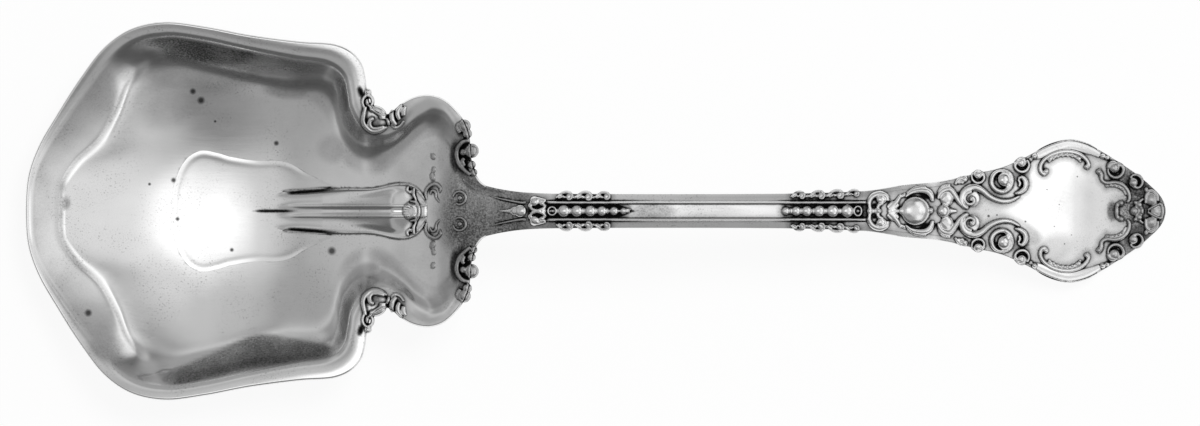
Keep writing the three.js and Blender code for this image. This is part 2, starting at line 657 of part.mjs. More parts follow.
pair("large_roundel", [handle], (at, side) => curl(at(103, 6), 2.6, 1.5, side * -2.9));
pair("upper_roundel", [handle], (at, side) => curl(at(107.1, 9.3), 1.8, 1.2, side * -1.5));
pair("comma_leaf", [handle], (at) => [
  scroll(
    [at(106.4, 6.3), at(107.2, 6.7), at(107.9, 5.9), at(107.7, 4.6), at(106.7, 3.8), at(105.6, 3.5)],
    [0.25, 0.4, 0.5, 0.5, 0.4, 0.2],
    1,
  ),
]);

const MOULDING_HALF = 0.55;
const MOULDING_INSET = 0.75;
pair("rim_moulding", [handle], (at) => [
  scroll(
    [109.8, 112.4, 114.6, 116.6, 118.6, 120.8, 123].map((x) => at(x, edgeAt(x) - MOULDING_INSET)),
    [0.7, 1, 1, 1, 1, 1, 0.7].map((share) => share * MOULDING_HALF),
    0.7,
  ),
  bead(at(109.8, edgeAt(109.8) - MOULDING_INSET), 0.75, 0.9),
  bead(at(123.4, edgeAt(123.4) - MOULDING_INSET), 0.7, 0.9),
]);
pair("cartouche_scroll", [handle], (at) => [
  scroll(
    [
      at(112, 7.9), at(111.1, 8.4), at(111.3, 9.7), at(112.4, 10.7), at(113.9, 11.5), at(115.7, 11.9),
      at(117.4, 11.8), at(119.1, 11.2), at(120.3, 10.1), at(120.7, 8.9),
    ],
    [0.3, 0.35, 0.35, 0.35, 0.38, 0.4, 0.4, 0.38, 0.35, 0.3],
    0.8,
  ),
  bead(at(112, 7.9), 0.75, 0.9),
  bead(at(120.5, 8.9), 0.65, 0.9),
  ...[[113.2, 10.5], [114.4, 10.9], [115.7, 11.1], [117, 11], [118.2, 10.7]].map(([x, y]) =>
    bead(at(x, y), 0.48, 0.5)),
]);

// Crest at the end

pair("crest_inner_roundel", [handle], (at, side) => curl(at(126.2, 8.3), 1.95, 1.2, side * -1.1));
pair("crest_outer_roundel", [handle], (at, side) => curl(at(130.2, 5.9), 1.7, 1.2, side * 0.3));
pair("lunette", [handle], (at) => [
  scroll(
    [
      at(122.7, 8.2), at(123.4, 7), at(123.5, 5.8), at(124.7, 5.6), at(126.2, 5.7),
      at(127.7, 5.2), at(128.7, 3.9), at(129, 2.6), at(128.5, 1.7),
    ],
    [0.55, 0.45, 0.35, 0.38, 0.38, 0.38, 0.38, 0.35, 0.3],
    0.8,
  ),
  ...[[124.9, 5], [126.1, 5], [127.2, 4.6]].map(([x, y]) => bead(at(x, y), 0.5, 0.5)),
]);
ornament("crest_knot", [handle], [
  bead([126.4, 0], 0.6, 0.8, 2.8),
  ...SIDES.map(([, side]) => bead([127.2, 1.5 * side], 0.7, 0.9)),
]);
ornament("crest_flower", [handle], [
  bead([130, 0], 1, 1),
  bead([131.4, 0], 0.6, 0.7, 1.6),
  ...SIDES.map(([, side]) => bead([131, 1.2 * side], 0.75, 0.8)),
]);
ornament("crest_palmette", [handle], [
  bead([134.4, 0], 1.25, 0.8, 1.3),
  ...SIDES.map(([, side]) => bead([133.4, 2.5 * side], 1.55, 1)),
]);

// The origin lies under the middle of the whole length.
spoon.position.x = (BOWL_LENGTH - HANDLE_LENGTH) / 2;

export default spoon;
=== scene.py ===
# %% [markdown]
# # A salad serving spoon in worn silver
# The spoon lies on its back and is seen from straight above. Its bowl is stamped from sheet, its handle is
# forged, and both carry rococo relief whose ground has turned black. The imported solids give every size
# here, and the pieces made below stand for them.

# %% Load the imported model
import math

import bmesh
import bpy
import numpy as np
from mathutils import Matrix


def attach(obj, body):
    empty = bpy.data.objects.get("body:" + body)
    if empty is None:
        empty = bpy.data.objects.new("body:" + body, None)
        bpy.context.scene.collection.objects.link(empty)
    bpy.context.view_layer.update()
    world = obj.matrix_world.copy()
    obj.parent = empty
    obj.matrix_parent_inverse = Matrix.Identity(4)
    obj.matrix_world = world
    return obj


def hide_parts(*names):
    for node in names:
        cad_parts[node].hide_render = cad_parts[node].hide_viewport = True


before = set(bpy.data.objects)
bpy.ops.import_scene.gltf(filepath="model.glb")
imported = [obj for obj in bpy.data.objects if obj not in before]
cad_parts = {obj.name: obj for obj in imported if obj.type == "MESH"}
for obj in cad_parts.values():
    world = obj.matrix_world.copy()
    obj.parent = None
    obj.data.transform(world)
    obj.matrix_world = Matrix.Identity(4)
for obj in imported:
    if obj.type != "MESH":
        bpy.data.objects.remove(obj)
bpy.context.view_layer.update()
print("nodes in the packed model:", len(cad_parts))

# %% [markdown]
# ## Sizes
# Everything is drawn in millimetres and made in metres. Places along the spoon are measured from the seam
# in the neck, where bowl and handle meet, because both are drawn outwards from there. The seam lies 21.9 mm
# before the middle of the length, which is the origin.

# %% Sizes that several pieces share
MM = 0.001
SEAM = -21.9  # along the spoon, from the origin
SHEET = 1.2  # wall of the bowl
NECK_WALL = 2.8
NECK_TOP = 19.2  # top of the neck above the table


def ease(low, high, value):
    share = np.clip((np.asarray(value, float) - low) / (high - low), 0, 1)
    return share * share * (3 - 2 * share)


def through(points, places):
    """A smooth curve through (place, value) points, read at the given places."""
    x, y = np.array(points, float).T
    slope = np.gradient(y, x)
    slope[1:-1] = (y[2:] - y[:-2]) / (x[2:] - x[:-2])
    at = np.clip(places, x[0], x[-1])
    k = np.clip(np.searchsorted(x, at), 1, len(x) - 1)
    span, rise = x[k] - x[k - 1], y[k] - y[k - 1]
    t, first, second = (at - x[k - 1]) / span, slope[k - 1] * span, slope[k] * span
    return y[k - 1] + t * (first + t * (3 * rise - 2 * first - second + t * (first + second - 2 * rise)))


print("seam at", SEAM, "mm, neck top at", NECK_TOP, "mm")

# %% [markdown]
# ## Nodes
# Materials, the world and the Geometry Nodes trees are all built from nodes. One small function adds a
# node, sets its properties, and either links or fills each socket that is named. The nodes that are used
# most have short forms of it, which give the result instead of the node.

# %% One function for nodes, its short forms, and one for colours
def add(tree, kind, sockets=None, **settings):
    made = tree.nodes.new(kind)
    for key, value in settings.items():
        setattr(made, key, value)
    for key, value in (sockets or {}).items():
        if isinstance(value, bpy.types.NodeSocket):
            tree.links.new(value, made.inputs[key])
        else:
            made.inputs[key].default_value = value
    return made


def result(tree, kind, sockets=None, **settings):
    return add(tree, kind, sockets, **settings).outputs[0]


def calc(tree, operation, *values, **settings):
    return result(tree, "ShaderNodeMath", dict(enumerate(values)), operation=operation, **settings)


def vector(tree, operation, *values):
    return result(tree, "ShaderNodeVectorMath", dict(enumerate(values)), operation=operation)


def ranged(tree, value, low, high, first, last, **settings):
    """The value with its range from low to high turned into first to last."""
    sockets = {"Value": value, 1: low, 2: high, 3: first, 4: last}
    return result(tree, "ShaderNodeMapRange", sockets, **settings)


def blend(tree, share, first, second):
    """The first colour with a share of the second."""
    return add(tree, "ShaderNodeMix", {0: share, 6: first, 7: second}, data_type="RGBA").outputs[2]


def linear(hex_colour):
    """sRGB hex to the linear colour that a socket takes."""
    channels = [int(hex_colour[k:k + 2], 16) / 255 for k in (1, 3, 5)]
    return (*[c / 12.92 if c <= 0.04045 else ((c + 0.055) / 1.055) ** 2.4 for c in channels], 1)


print("silver", [round(c, 2) for c in linear("#F0F0F0")])

# %% [markdown]
# ## Camera
# The photograph looks straight down and shows no perspective, so the camera is far away with a long lens.
# It could be orthographic, but a long lens is nearer to what was used. The frame is 240 mm wide.

# %% Camera
FRAME_WIDTH = 240 * MM
FRAME_MIDDLE = (0.74 * MM, -0.4 * MM)
MIDDLE_HEIGHT = 10 * MM  # of the spoon, where the frame is as wide as that


def placed(name, data):
    """A new object in the scene, at the origin."""
    made = bpy.data.objects.new(name, data)
    bpy.context.scene.collection.objects.link(made)
    return made


camera = bpy.data.cameras.new("camera")
camera.lens = 300
camera.sensor_width = 36
camera.sensor_fit = "HORIZONTAL"
camera.clip_end = 10
camera_object = placed("camera", camera)
camera_height = MIDDLE_HEIGHT + FRAME_WIDTH * camera.lens / camera.sensor_width
camera_object.location = (*FRAME_MIDDLE, camera_height)
bpy.context.scene.camera = camera_object
bpy.context.scene.view_settings.view_transform = "Standard"
print("camera height", round(camera_height, 3), "m")

# %% [markdown]
# ## Silver
# Old silver is one metal with several faces. Where hands and cloths reach it is bright, with fine
# scratches. Where they don't, sulphur in the air turns it grey, then black. The black could be painted by
# hand, but here it follows the shape: each mesh carries a `recess` value that says how deep a point lies,
# and a `stain` value for the tarnish that has formed on the open surface. In a few places these
# values also hold painted shade and a painted reflection. The shader only turns these into colour and
# gloss.

# %% Worn sterling silver, polished or cast
CLOUD_MM = 9  # breadth of the clouds of thin tarnish
GRAIN_MM = 0.35  # breadth of its grains
# The grey paints tarnish and also painted shade and reflection, the black sulphide and painted shade.
TARNISH_AND_SHADE_GREY = "#636363"
SPECK_GREY = "#585858"
SULPHIDE_AND_SHADE_BLACK = "#121212"
PIT_BLACK = "#1C1C1C"


def worn_silver(name, bright, grey, scratch_mm, gloss, pits):
    """Grey tarnish where stain says so, black sulphide where recess says so, and painted shade in places.
    """
    material = bpy.data.materials.new(name)
    material.use_nodes = True
    tree = material.node_tree
    shader = tree.nodes["Principled BSDF"]
    shader.inputs["Metallic"].default_value = 1
    place = add(tree, "ShaderNodeTexCoord").outputs["Object"]

    def noise(at, breadth_mm, detail):
        sockets = {"Vector": at, "Scale": 1 / (breadth_mm * MM), "Detail": detail}
        return add(tree, "ShaderNodeTexNoise", sockets).outputs["Fac"]

    clouds = noise(place, CLOUD_MM, 5)
    grains = noise(place, GRAIN_MM, 3)
    # Scratches from use: noise drawn out along the spoon. Real ones are finer than a pixel.
    longer = {"Vector": place, "Rotation": (0, 0, 0.35), "Scale": (0.06, 1, 1)}
    scratch = noise(result(tree, "ShaderNodeMapping", longer), scratch_mm, 4)

    # These hold tarnish and sulphide, and in a few places painted shade and a painted reflection
    stain = add(tree, "ShaderNodeAttribute", attribute_name="stain").outputs["Fac"]
    recess = add(tree, "ShaderNodeAttribute", attribute_name="recess").outputs["Fac"]
    grainy = ranged(tree, grains, 0.3, 0.7, -0.4, 0.4)
    speckle_and_shade = calc(tree, "MULTIPLY_ADD", calc(tree, "POWER", stain, 2.0), grainy, stain)
    patchy = ranged(tree, clouds, 0.3, 0.7, 0.7, 1.25)
    stained_and_shaded = calc(tree, "MULTIPLY", speckle_and_shade, patchy, use_clamp=True)
    cloudy = ranged(tree, clouds, 0.35, 0.75, 0, 0.35)
    rubbed = blend(tree, cloudy, linear(bright), linear(grey))
    tarnished_and_shaded = blend(tree, stained_and_shaded, rubbed, linear(TARNISH_AND_SHADE_GREY))
    # Specks where the tarnish has taken hold, in clouds
    specks = ranged(tree, grains, 0.58, 0.7, 0, 0.4)
    in_cloud = ranged(tree, clouds, 0.48, 0.62, 0.1, 1)
    marked = calc(tree, "MULTIPLY", specks, in_cloud)
    speckled = blend(tree, marked, tarnished_and_shaded, linear(SPECK_GREY))
    # The edge of the black is broken up by the grains
    rough_edge = calc(tree, "MULTIPLY_ADD", grains, 0.3, -0.15)
    deep = calc(tree, "ADD", recess, rough_edge)
    black = ranged(tree, deep, 0.1, 0.9, 0, 1, interpolation_type="SMOOTHSTEP")
    colour = blend(tree, black, speckled, linear(SULPHIDE_AND_SHADE_BLACK))
    # Pits where the metal has corroded, on the upper side only
    upward = add(tree, "ShaderNodeSeparateXYZ", {0: add(tree, "ShaderNodeNewGeometry").outputs["Normal"]})
    for x, y, radius in pits:
        far = vector(tree, "SUBTRACT", place, (x * MM, y * MM, 0))
        flat = vector(tree, "MULTIPLY", far, (1, 1, 0))
        length = add(tree, "ShaderNodeVectorMath", {0: flat}, operation="LENGTH").outputs["Value"]
        spot = ranged(tree, length, radius * 0.5 * MM, radius * 1.3 * MM, 0.9, 0)
        above = calc(tree, "MULTIPLY", spot, upward.outputs[2], use_clamp=True)
        colour = blend(tree, above, colour, linear(PIT_BLACK))
    tree.links.new(colour, shader.inputs["Base Color"])

    dull = calc(tree, "MULTIPLY_ADD", stained_and_shaded, 0.2, gloss)
    scratched = calc(tree, "MULTIPLY_ADD", scratch, 0.12, dull)
    sooty = calc(tree, "MULTIPLY_ADD", black, 0.3, scratched)
    tree.links.new(sooty, shader.inputs["Roughness"])
    bump = result(tree, "ShaderNodeBump", {"Height": scratch, "Strength": 0.12, "Distance": 0.02 * MM})
    tree.links.new(bump, shader.inputs["Normal"])
    return material


# Places of the pits from the origin, and their radii
bowl_pits = [
    (-84.9, 6.2, 0.5), (-84.1, -1.6, 0.4), (-64.2, 13.6, 0.5), (-73.2, -7.8, 0.4), (-80.9, 24, 0.6),
    (-79.3, 22.2, 0.7), (-101.7, -20.4, 0.7), (-53, -8, 0.8), (-89.7, 5.4, 0.3), (-76.5, 18, 0.25),
]
plate_pits = [
    (78.4, -1, 0.28), (80.1, -0.8, 0.18), (85.9, -2.1, 0.2), (90.3, 4.3, 0.15), (96.5, 6.9, 0.15),
    (92.8, 1.3, 0.12), (95.3, -4.8, 0.12), (91.8, -3.1, 0.12), (93.9, -6.6, 0.15),
]
bowl_silver = worn_silver("polished_silver_bowl", "#F2F2F2", "#D6D6D6", 0.5, 0.09, bowl_pits)
handle_silver = worn_silver("polished_silver_handle", "#F2F2F2", "#D4D4D4", 0.4, 0.1, plate_pits)
relief_silver = worn_silver("cast_silver_relief", "#F0F0F0", "#CCCCCC", 0.35, 0.14, [])
print("silver finishes:", bowl_silver.name, handle_silver.name, relief_silver.name)

# %% [markdown]
# ## Bowl
# The bowl is one stamped sheet: a rolled lip, a wall that runs out into a shallow dish, a crisp crease
# behind the broad flange in front, two notches and two small lobes. It could be modelled by pushing points,
# but its shape is a rule: three rails run round it, and the height of every section from rim to middle is a
# formula. So the rails are written as points, and the sections are computed.

# %% Rails of the bowl
# From the tip round one side to the neck: rim, inner edge of the lip, and foot of the wall. The foot's
# height follows from the floor below.
BOWL_STATIONS = np.array([
    [[-92.4, 0, 7], [-91.2, 0, 6.6], [-84.4, 0, 0]],
    [[-91.9, 7, 7.05], [-90.7, 6.6, 6.65], [-84.1, 5.2, 0]],
    [[-89.9, 12.8, 7.15], [-88.6, 12, 6.75], [-81.4, 9.6, 0]],
    [[-86.1, 19.4, 7.7], [-84.6, 18.2, 7.2], [-76.3, 14.4, 0]],
    [[-81.3, 26.8, 8.8], [-79.5, 25.2, 8.2], [-73.5, 19.4, 0]],
    [[-76.3, 33, 10.3], [-74.7, 31, 9.6], [-71.2, 25.2, 0]],
    [[-70.9, 36.5, 11.7], [-70, 34, 11], [-67.9, 29, 0]],
    [[-64.3, 37.8, 12.6], [-64.1, 34.9, 11.8], [-62.9, 30.2, 0]],
    [[-56.3, 36.9, 12.9], [-56.7, 33.9, 12], [-56.3, 29.4, 0]],
    [[-47.3, 35.2, 13], [-47.9, 32, 12.1], [-47.7, 27.2, 0]],
    [[-37.3, 33.9, 13.2], [-38.2, 30.2, 12.2], [-39.1, 24.2, 0]],
    [[-30.1, 33.3, 13.3], [-32.1, 29.4, 12.3], [-34, 21.6, 0]],
    [[-26.9, 31.8, 13.3], [-29.8, 28.2, 12.3], [-32.3, 19, 0]],
    [[-24.9, 29.4, 13.2], [-28.5, 26.4, 12.2], [-31.5, 16.4, 0]],
    [[-24.1, 26.2, 13], [-27.9, 23.8, 12.1], [-30.7, 13.8, 0]],
    [[-23.7, 22.6, 12.8], [-27.2, 20.2, 12], [-29.1, 10.8, 0]],
    [[-22.1, 20, 12.8], [-24.8, 16.4, 12], [-25.9, 8.6, 0]],
    [[-19.7, 19.4, 13], [-20.7, 14.7, 12.2], [-22.1, 8.2, 0]],
    [[-17.3, 21.2, 13.6], [-16.4, 16.6, 12.9], [-18.5, 9.8, 0]],
    [[-14.9, 22.6, 14.3], [-13.8, 18.6, 13.6], [-15.3, 12.2, 0]],
    [[-11.7, 23.2, 15.1], [-11.2, 19.6, 14.4], [-12.5, 14.4, 0]],
    [[-8.7, 22.4, 15.8], [-9.1, 19, 15.1], [-10.3, 15.2, 0]],
    [[-6.3, 20.4, 16.4], [-7.4, 17.4, 15.7], [-8.5, 14.4, 0]],
    [[-4.5, 18, 16.8], [-6.1, 15.4, 16.1], [-7.3, 13, 0]],
    [[-3.5, 15.4, 17], [-5.4, 13.2, 16.4], [-6.5, 11.4, 0]],
    [[-3.1, 12.4, 17.2], [-5, 11, 16.7], [-5.9, 9.6, 0]],
    [[-2.9, 10, 17.3], [-4.5, 9, 17], [-5.2, 7.8, 0]],
    [[-2.3, 7.8, 17.5], [-3.6, 7, 17.3], [-4.2, 6, 0]],
    [[-1.2, 6, 17.8], [-2, 5.3, 17.6], [-2.5, 4.5, 0]],
    [[0, 5, 18], [0, 4.4, 17.8], [0, 3.6, 0]],
])


def along_rail(points, places):
    """A rail through one point of every station, read at station numbers, the same on both sides."""
    whole = np.concatenate([(points * (1, -1, 1))[:0:-1], points])
    gap = np.sqrt(np.linalg.norm(np.diff(whole, axis=0), axis=1))[:, None]
    step = np.diff(whole, axis=0) / gap
    tangent = np.empty_like(whole)
    tangent[1:-1] = step[:-1] + step[1:] - (whole[2:] - whole[:-2]) / (gap[:-1] + gap[1:])
    tangent[0], tangent[-1] = step[0], step[-1]
    at = np.asarray(places) + len(points) - 1
    k = np.minimum(at.astype(int), len(whole) - 2)
    t = (at - k)[:, None]
    first, second, rise = tangent[k] * gap[k], tangent[k + 1] * gap[k], whole[k + 1] - whole[k]
    return whole[k] + t * (first + t * (3 * rise - 2 * first - second + t * (first + second - 2 * rise)))


# Two last sections close together keep the shading of the cut at the seam to a hair's breadth
columns = np.concatenate([
    np.linspace(0, 14, 120, endpoint=False), np.linspace(14, 28.9, 190), [28.97, 28.985, 29],
])
rails = np.stack([along_rail(BOWL_STATIONS[:, k], columns) for k in range(3)], 1)
rim_way = np.gradient(rails[:, 0], axis=0)
out_way = np.stack([-rim_way[:, 1], rim_way[:, 0], np.zeros(len(columns))], 1)
out_way /= np.linalg.norm(out_way, axis=1, keepdims=True)
out_way[0] = (-1, 0, 0)
out_way[columns > 28.5] = (0, 1, 0)
RIM_ROUND = 0.4  # breadth of the half round outside the sections
rails[:, 0] -= out_way * RIM_ROUND
print("bowl rails:", rails.shape[1], "with", len(columns), "sections on each side")

# %% [markdown]
# A section starts with the rolled lip. On the sides a steep wall runs out into the dish. In front a flange
# slopes gently to the crease, and the floor falls away behind it like a ramp. Corners are rounded by a
# narrow blur, as a signal is, because a fillet would need a case for every corner.

# %% Sections of the bowl
ROWS = 84
FINE = 420
SPINE_SHARE = 0.9  # the floor's middle lies this share of the foot's distance from the seam
FLANGE_ENDS = (7, 4.5)  # stations between which the side wall turns into the flange in front
CREASE_STATIONS = 7  # stations whose foot is the crease
CREASE_END = (38, -62)  # where the crease would meet the rim
CREASE = [(y, x) for x, y in BOWL_STATIONS[:CREASE_STATIONS, 2, :2]] + [CREASE_END]
LIP_ROLL = 0.28  # rise of the rolled lip over its own breadth, times four
SIDE_ROUND = 0.75  # blur of a section's corners
FRONT_ROUND = 0.32
RAMP_FOOT = -54.0  # where the ramp behind the crease has run out
RAMP_SLOPE = 0.32
DISH = 0.005  # rise of the floor per square millimetre off the middle
DISH_ENDS = (-14, -40)  # between which the dish begins
CREASE_WIDTH = 1.6
CREASE_DROP = 0.85
FLOOR_RISE = [
    (-92.4, 0), (-62, 0), (-58, 0.03), (-54, 0.14), (-50, 0.4), (-46, 0.82), (-42, 1.45), (-38, 2.4),
    (-34, 3.66), (-30, 5.1), (-26, 6.62), (-22, 8.2), (-16, 10.5), (-10, 13.3), (-5, 15.9), (0, 17.6),
]
WALL_BREADTH = [
    (0, 9), (7, 9.5), (10, 9.5), (12, 10), (14, 10), (16, 8.5), (18, 8), (20, 6.5), (23, 5), (26, 3),
    (29, 2.2),
]


def bell(off, width):
    return np.exp(-((off / width) ** 2))


def blurred(line, width):
    """The line with its corners rounded over a width counted in points, and its ends kept."""
    width = min(width, len(line) / 8)
    reach = int(3 * width) + 1
    kernel = np.exp(-0.5 * (np.arange(-reach, reach + 1) / width) ** 2)
    kernel /= kernel.sum()
    before = 2 * line[0] - line[reach:0:-1]
    after = 2 * line[-1] - line[-2:-reach - 2:-1]
    longer = np.concatenate([before, line, after])
    return np.stack([np.convolve(longer[:, k], kernel, "valid") for k in range(longer.shape[1])], 1)


def floor_height(x, y):
    """The floor without its walls: the rise to the heel, a shallow dish and the ramp behind the crease."""
    crease = through(CREASE, np.abs(y))
    run = RAMP_FOOT - crease
    ramp = 0.5 * RAMP_SLOPE * run * np.clip((RAMP_FOOT - np.maximum(x, crease)) / run, 0, 1) ** 2
    return through(FLOOR_RISE, x) + DISH * y ** 2 * ease(*DISH_ENDS, x) + ramp


def bowl_section(points, station):
    """One section from rim to middle, closer at lip and foot, and how far down the wall each point is."""
    rim, lip, foot = points
    corners = np.stack([rim[:2], lip[:2], foot[:2], foot[:2] * (SPINE_SHARE, 0)])
    lengths = np.concatenate([[0], np.cumsum(np.linalg.norm(np.diff(corners, axis=0), axis=1))])
    to_lip, to_foot = lengths[1:3]
    far = np.linspace(0, lengths[-1], FINE)
    per_mm = (FINE - 1) / lengths[-1]
    plan = np.stack([np.interp(far, lengths, corners[:, k]) for k in (0, 1)], 1)
    inward = ease(to_lip + 1, to_lip + 5, far)[:, None]
    plan = plan * (1 - inward) + blurred(plan, 2 * per_mm) * inward
    ground = floor_height(*plan.T)
    breadth = through(WALL_BREADTH, station)
    lip_stands = lip[2] - floor_height(*lip[:2])
    side = ground + lip_stands * np.clip(1 - (far - to_lip) / breadth, 0, 1) ** 3
    foot_height = floor_height(*foot[:2])
    flange = np.interp(
        far, [to_lip, to_foot - CREASE_WIDTH, to_foot], [lip[2], foot_height + CREASE_DROP, foot_height]
    )
    front = np.where(far < to_foot, flange, ground)
    in_front = ease(*FLANGE_ENDS, station)
    height = front * in_front + side * (1 - in_front)
    over_lip = np.clip(far / to_lip, 0, 1)
    roll = LIP_ROLL * to_lip * over_lip * (1 - over_lip)
    height = np.where(far < to_lip, rim[2] + (lip[2] - rim[2]) * over_lip + roll, height)
    corner_round = SIDE_ROUND + (FRONT_ROUND - SIDE_ROUND) * in_front
    height = blurred(height[:, None], corner_round * per_mm)[:, 0]
    close = 1 + 3 * bell(far, 0.8) + 3 * bell(far - to_lip, 1.2) + 5 * in_front * bell(far - to_foot, 1.2)
    share = np.cumsum(close) - close[0]
    at = np.interp(np.linspace(0, share[-1], ROWS), share, far)
    shaped = [np.interp(at, far, line) for line in (*plan.T, height)]
    return np.stack([*shaped, (at - to_lip) / (to_foot - to_lip)], 1)


sections = np.stack([bowl_section(points, station) for points, station in zip(rails, columns)])
inside, down_wall = sections[..., :3], sections[..., 3]
inside[:, -1, 1] = 0
inside[..., 2] += SHEET
print("inside of the bowl:", inside.shape)

# %% [markdown]
# The sheet gets its wall from the normals of its inside. Its rim is a half round, and the underside follows
# at fewer points because nothing is drawn on it. One half is made and mirrored, then the doubles in the
# middle are merged.

# %% Bowl mesh
UNDER_ROWS = list(range(0, ROWS - 1, 3)) + [ROWS - 1]
EDGE_POINTS = 5  # round the half of the rim


def normals_of(grid):
    along = np.gradient(grid, axis=0)
    across = np.gradient(grid, axis=1)
    normal = np.cross(along, across)
    return normal / np.maximum(np.linalg.norm(normal, axis=2, keepdims=True), 1e-9)


def grid_faces(rows, cols):
    index = np.arange(rows * cols).reshape(rows, cols)
    return np.stack([index[:-1, :-1], index[1:, :-1], index[1:, 1:], index[:-1, 1:]], -1).reshape(-1, 4)


normal = normals_of(inside)
normal[:, 0] = (0, 0, 1)
normal *= np.sign(normal[..., 2:3])
square = ease(-8, 0, inside[..., 0])[..., None]
normal = normal * (1 - square) + np.array([0, 0, 1]) * square
wall = SHEET + (NECK_WALL - SHEET) * ease(-30, 0, inside[..., 0])[..., None]
outside = (inside - normal * wall)[:, UNDER_ROWS]
outside[..., 2] = np.maximum(outside[..., 2], 0)
outside[:, -1, 1] = 0

# Half round between the two rims
turns = np.linspace(0, math.pi, EDGE_POINTS + 2)[1:-1]
middle = (inside[:, 0] + outside[:, 0]) / 2
half_wall = np.linalg.norm(inside[:, 0] - outside[:, 0], axis=1)[:, None] / 2
edge = np.stack([
    middle + out_way * RIM_ROUND * math.sin(turn) + np.array([0, 0, 1]) * half_wall * math.cos(turn)
    for turn in turns
], 1)
loop = np.concatenate([outside[:, ::-1], edge[:, ::-1], inside], 1)
loop[0, :, 1] = 0

half_faces = grid_faces(*loop.shape[:2])
seam_ring = np.arange(loop.shape[1]) + (len(columns) - 1) * loop.shape[1]
count = len(loop.reshape(-1, 3))
both = np.concatenate([loop.reshape(-1, 3), loop.reshape(-1, 3) * (1, -1, 1)])
cap = seam_ring.tolist() + (seam_ring[::-1] + count)[1:-1].tolist()
all_faces = half_faces.tolist() + (half_faces[:, ::-1] + count).tolist() + [cap]
print("points on each half of the bowl:", count)

# %% [markdown]
# ### Tarnish and painted shade in the bowl
# A cloth wipes the floor of the bowl but not its steep walls, so grey tarnish stays there, on the flange in
# front and in a few patches. A band just outside the crease is painted shadow, and a dark patch on the near
# wall is a painted reflection of the room's dark side. It could be a painted image, but soft ovals and
# bands in millimetres are easier to place on the shape. They are stored as values on the points, which the
# silver reads.

# %% Tarnish and painted shade of the bowl
def window(start, full, last, end, value):
    """Rises from start to full and falls from last to end."""
    return ease(start, full, value) * ease(end, last, value)


def blots(points, spots):
    """Soft oval patches: (along, across, half length, half width, turn, strength)."""
    total = np.zeros(points.shape[:-1])
    for x, y, length, width, turn, strength in spots:
        dx, dy = points[..., 0] - x, points[..., 1] - y
        u = (dx * math.cos(turn) + dy * math.sin(turn)) / length
        v = (dy * math.cos(turn) - dx * math.sin(turn)) / width
        total = np.maximum(total, strength * ease(1.25, 0.55, np.hypot(u, v)))
    return total


HEEL_GAP = 16.35  # station of a bright gap in the tarnish of the heel's wall
# Strength of the painted reflection on the near wall
REFLECTION_STRENGTH = 0.68
on_wall = window(-0.05, 0.1, 0.95, 1.25, down_wall)
along_heel = window(14, 15.5, 21.5, 23, columns) * (1 - 0.9 * bell(columns - HEEL_GAP, 0.25))
heel_wall = on_wall * along_heel[:, None]
# Each patch has its place from the seam, half length, half width, turn and strength
WALL_STAINS = [
    (-56, 32.6, 14, 4, -0.1, 0.8), (-42, 28, 14, 5, -0.1, 0.45), (-70, 31, 7, 6, 0.6, 0.4),
    (-33, 24, 6, 6, 0, 0.2),
]
FLOOR_STAINS = [
    (-58, 27, 12, 4, 0, 0.35), (-63, 21, 7, 4, 0.5, 0.28), (-40, 24, 5, 1.6, -0.1, 0.4),
    (-31, 12.5, 3.2, 3, 0.3, 0.3), (-84.7, 1.6, 1.3, 1.5, 0, 0.55), (-13, 9, 6, 7, 0, 0.28),
    (-13, -9, 6, 7, 0, 0.24), (-76, -27, 4, 3, 0, 0.4), (-0.5, 0, 10.5, 13, 0, 0.85),
    (-9, 11, 5, 6, 0.3, 0.2), (-9, -11, 5, 6, 0, 0.25),
]
# Upper edge of a painted reflection: the dark patch on the near wall, where the room's dark side shows
DARK_REFLECTION_EDGE = [(-66, -33.5), (-62, -31.5), (-54.4, -28.2), (-46.4, -24.8), (-39.4, -25.4), (-31, -27)]


def tarnish_and_shade(points, side):
    """Tarnish on one half of the bowl's inside, which isn't the same on both, with painted shadow and
    reflection.
    """
    on_flange = window(0, 0.1, 0.93, 1, down_wall) * ease(6.5, 4.5, columns)[:, None]
    # A painted shadow in a band just outside the crease
    crease_shadow = 0.35 * bell(down_wall - 0.86, 0.07)
    flange = (0.4 - 0.3 * np.clip(down_wall, 0, 1) + crease_shadow) * on_flange
    total = np.maximum.reduce([blots(points, FLOOR_STAINS), 0.3 * heel_wall, flange])
    if side > 0:
        return np.maximum(total, on_wall * blots(points, WALL_STAINS))
    # On the near half, a painted reflection: a dark patch below a drawn edge on the wall
    edge_of_reflection = through(DARK_REFLECTION_EDGE, points[..., 0])
    dark_reflection = ease(edge_of_reflection + 0.5, edge_of_reflection - 0.5, points[..., 1]) * ease(-0.1, 0.1, down_wall)
    dark_reflection = dark_reflection * window(-66, -61, -32, -29, points[..., 0])
    return np.maximum(total, REFLECTION_STRENGTH * dark_reflection)


def with_underside(values):
    whole = np.zeros(loop.shape[:2])
    whole[:, -ROWS:] = values
    return whole.reshape(-1)


stain = np.concatenate([with_underside(tarnish_and_shade(inside * (1, side, 1), side)) for side in (1, -1)])
BLACK_GROUND = [
    (-25.2, 23.8, 0.7, 1.4, 0.3, 0.9), (-24.9, 18.4, 0.6, 3, 0, 0.5), (-22.4, 17.6, 1.6, 1.6, 0, 0.6),
    (-17.6, 18.6, 1.9, 2.4, 0, 0.6), (-6, 11, 1.6, 4, 0, 0.75), (-4.6, 11, 2, 4.4, 0, 0.9),
    (-4.8, 16, 1.5, 2, 0, 0.7),
]
recess = with_underside(blots(inside, BLACK_GROUND))
print("share of the bowl that is tarnished:", round(float((stain > 0.1).mean()), 2))

# %% [markdown]
# The mesh itself is made from points and faces in one step. The two halves have double points in the
# middle. These could stay, but a line would show in the reflections there, so they are merged. Edges
# sharper than a given angle stay sharp.

# %% Make the bowl
DOUBLES = 0.002 * MM  # points closer than this are one
SHARP_ANGLE = math.radians(60)


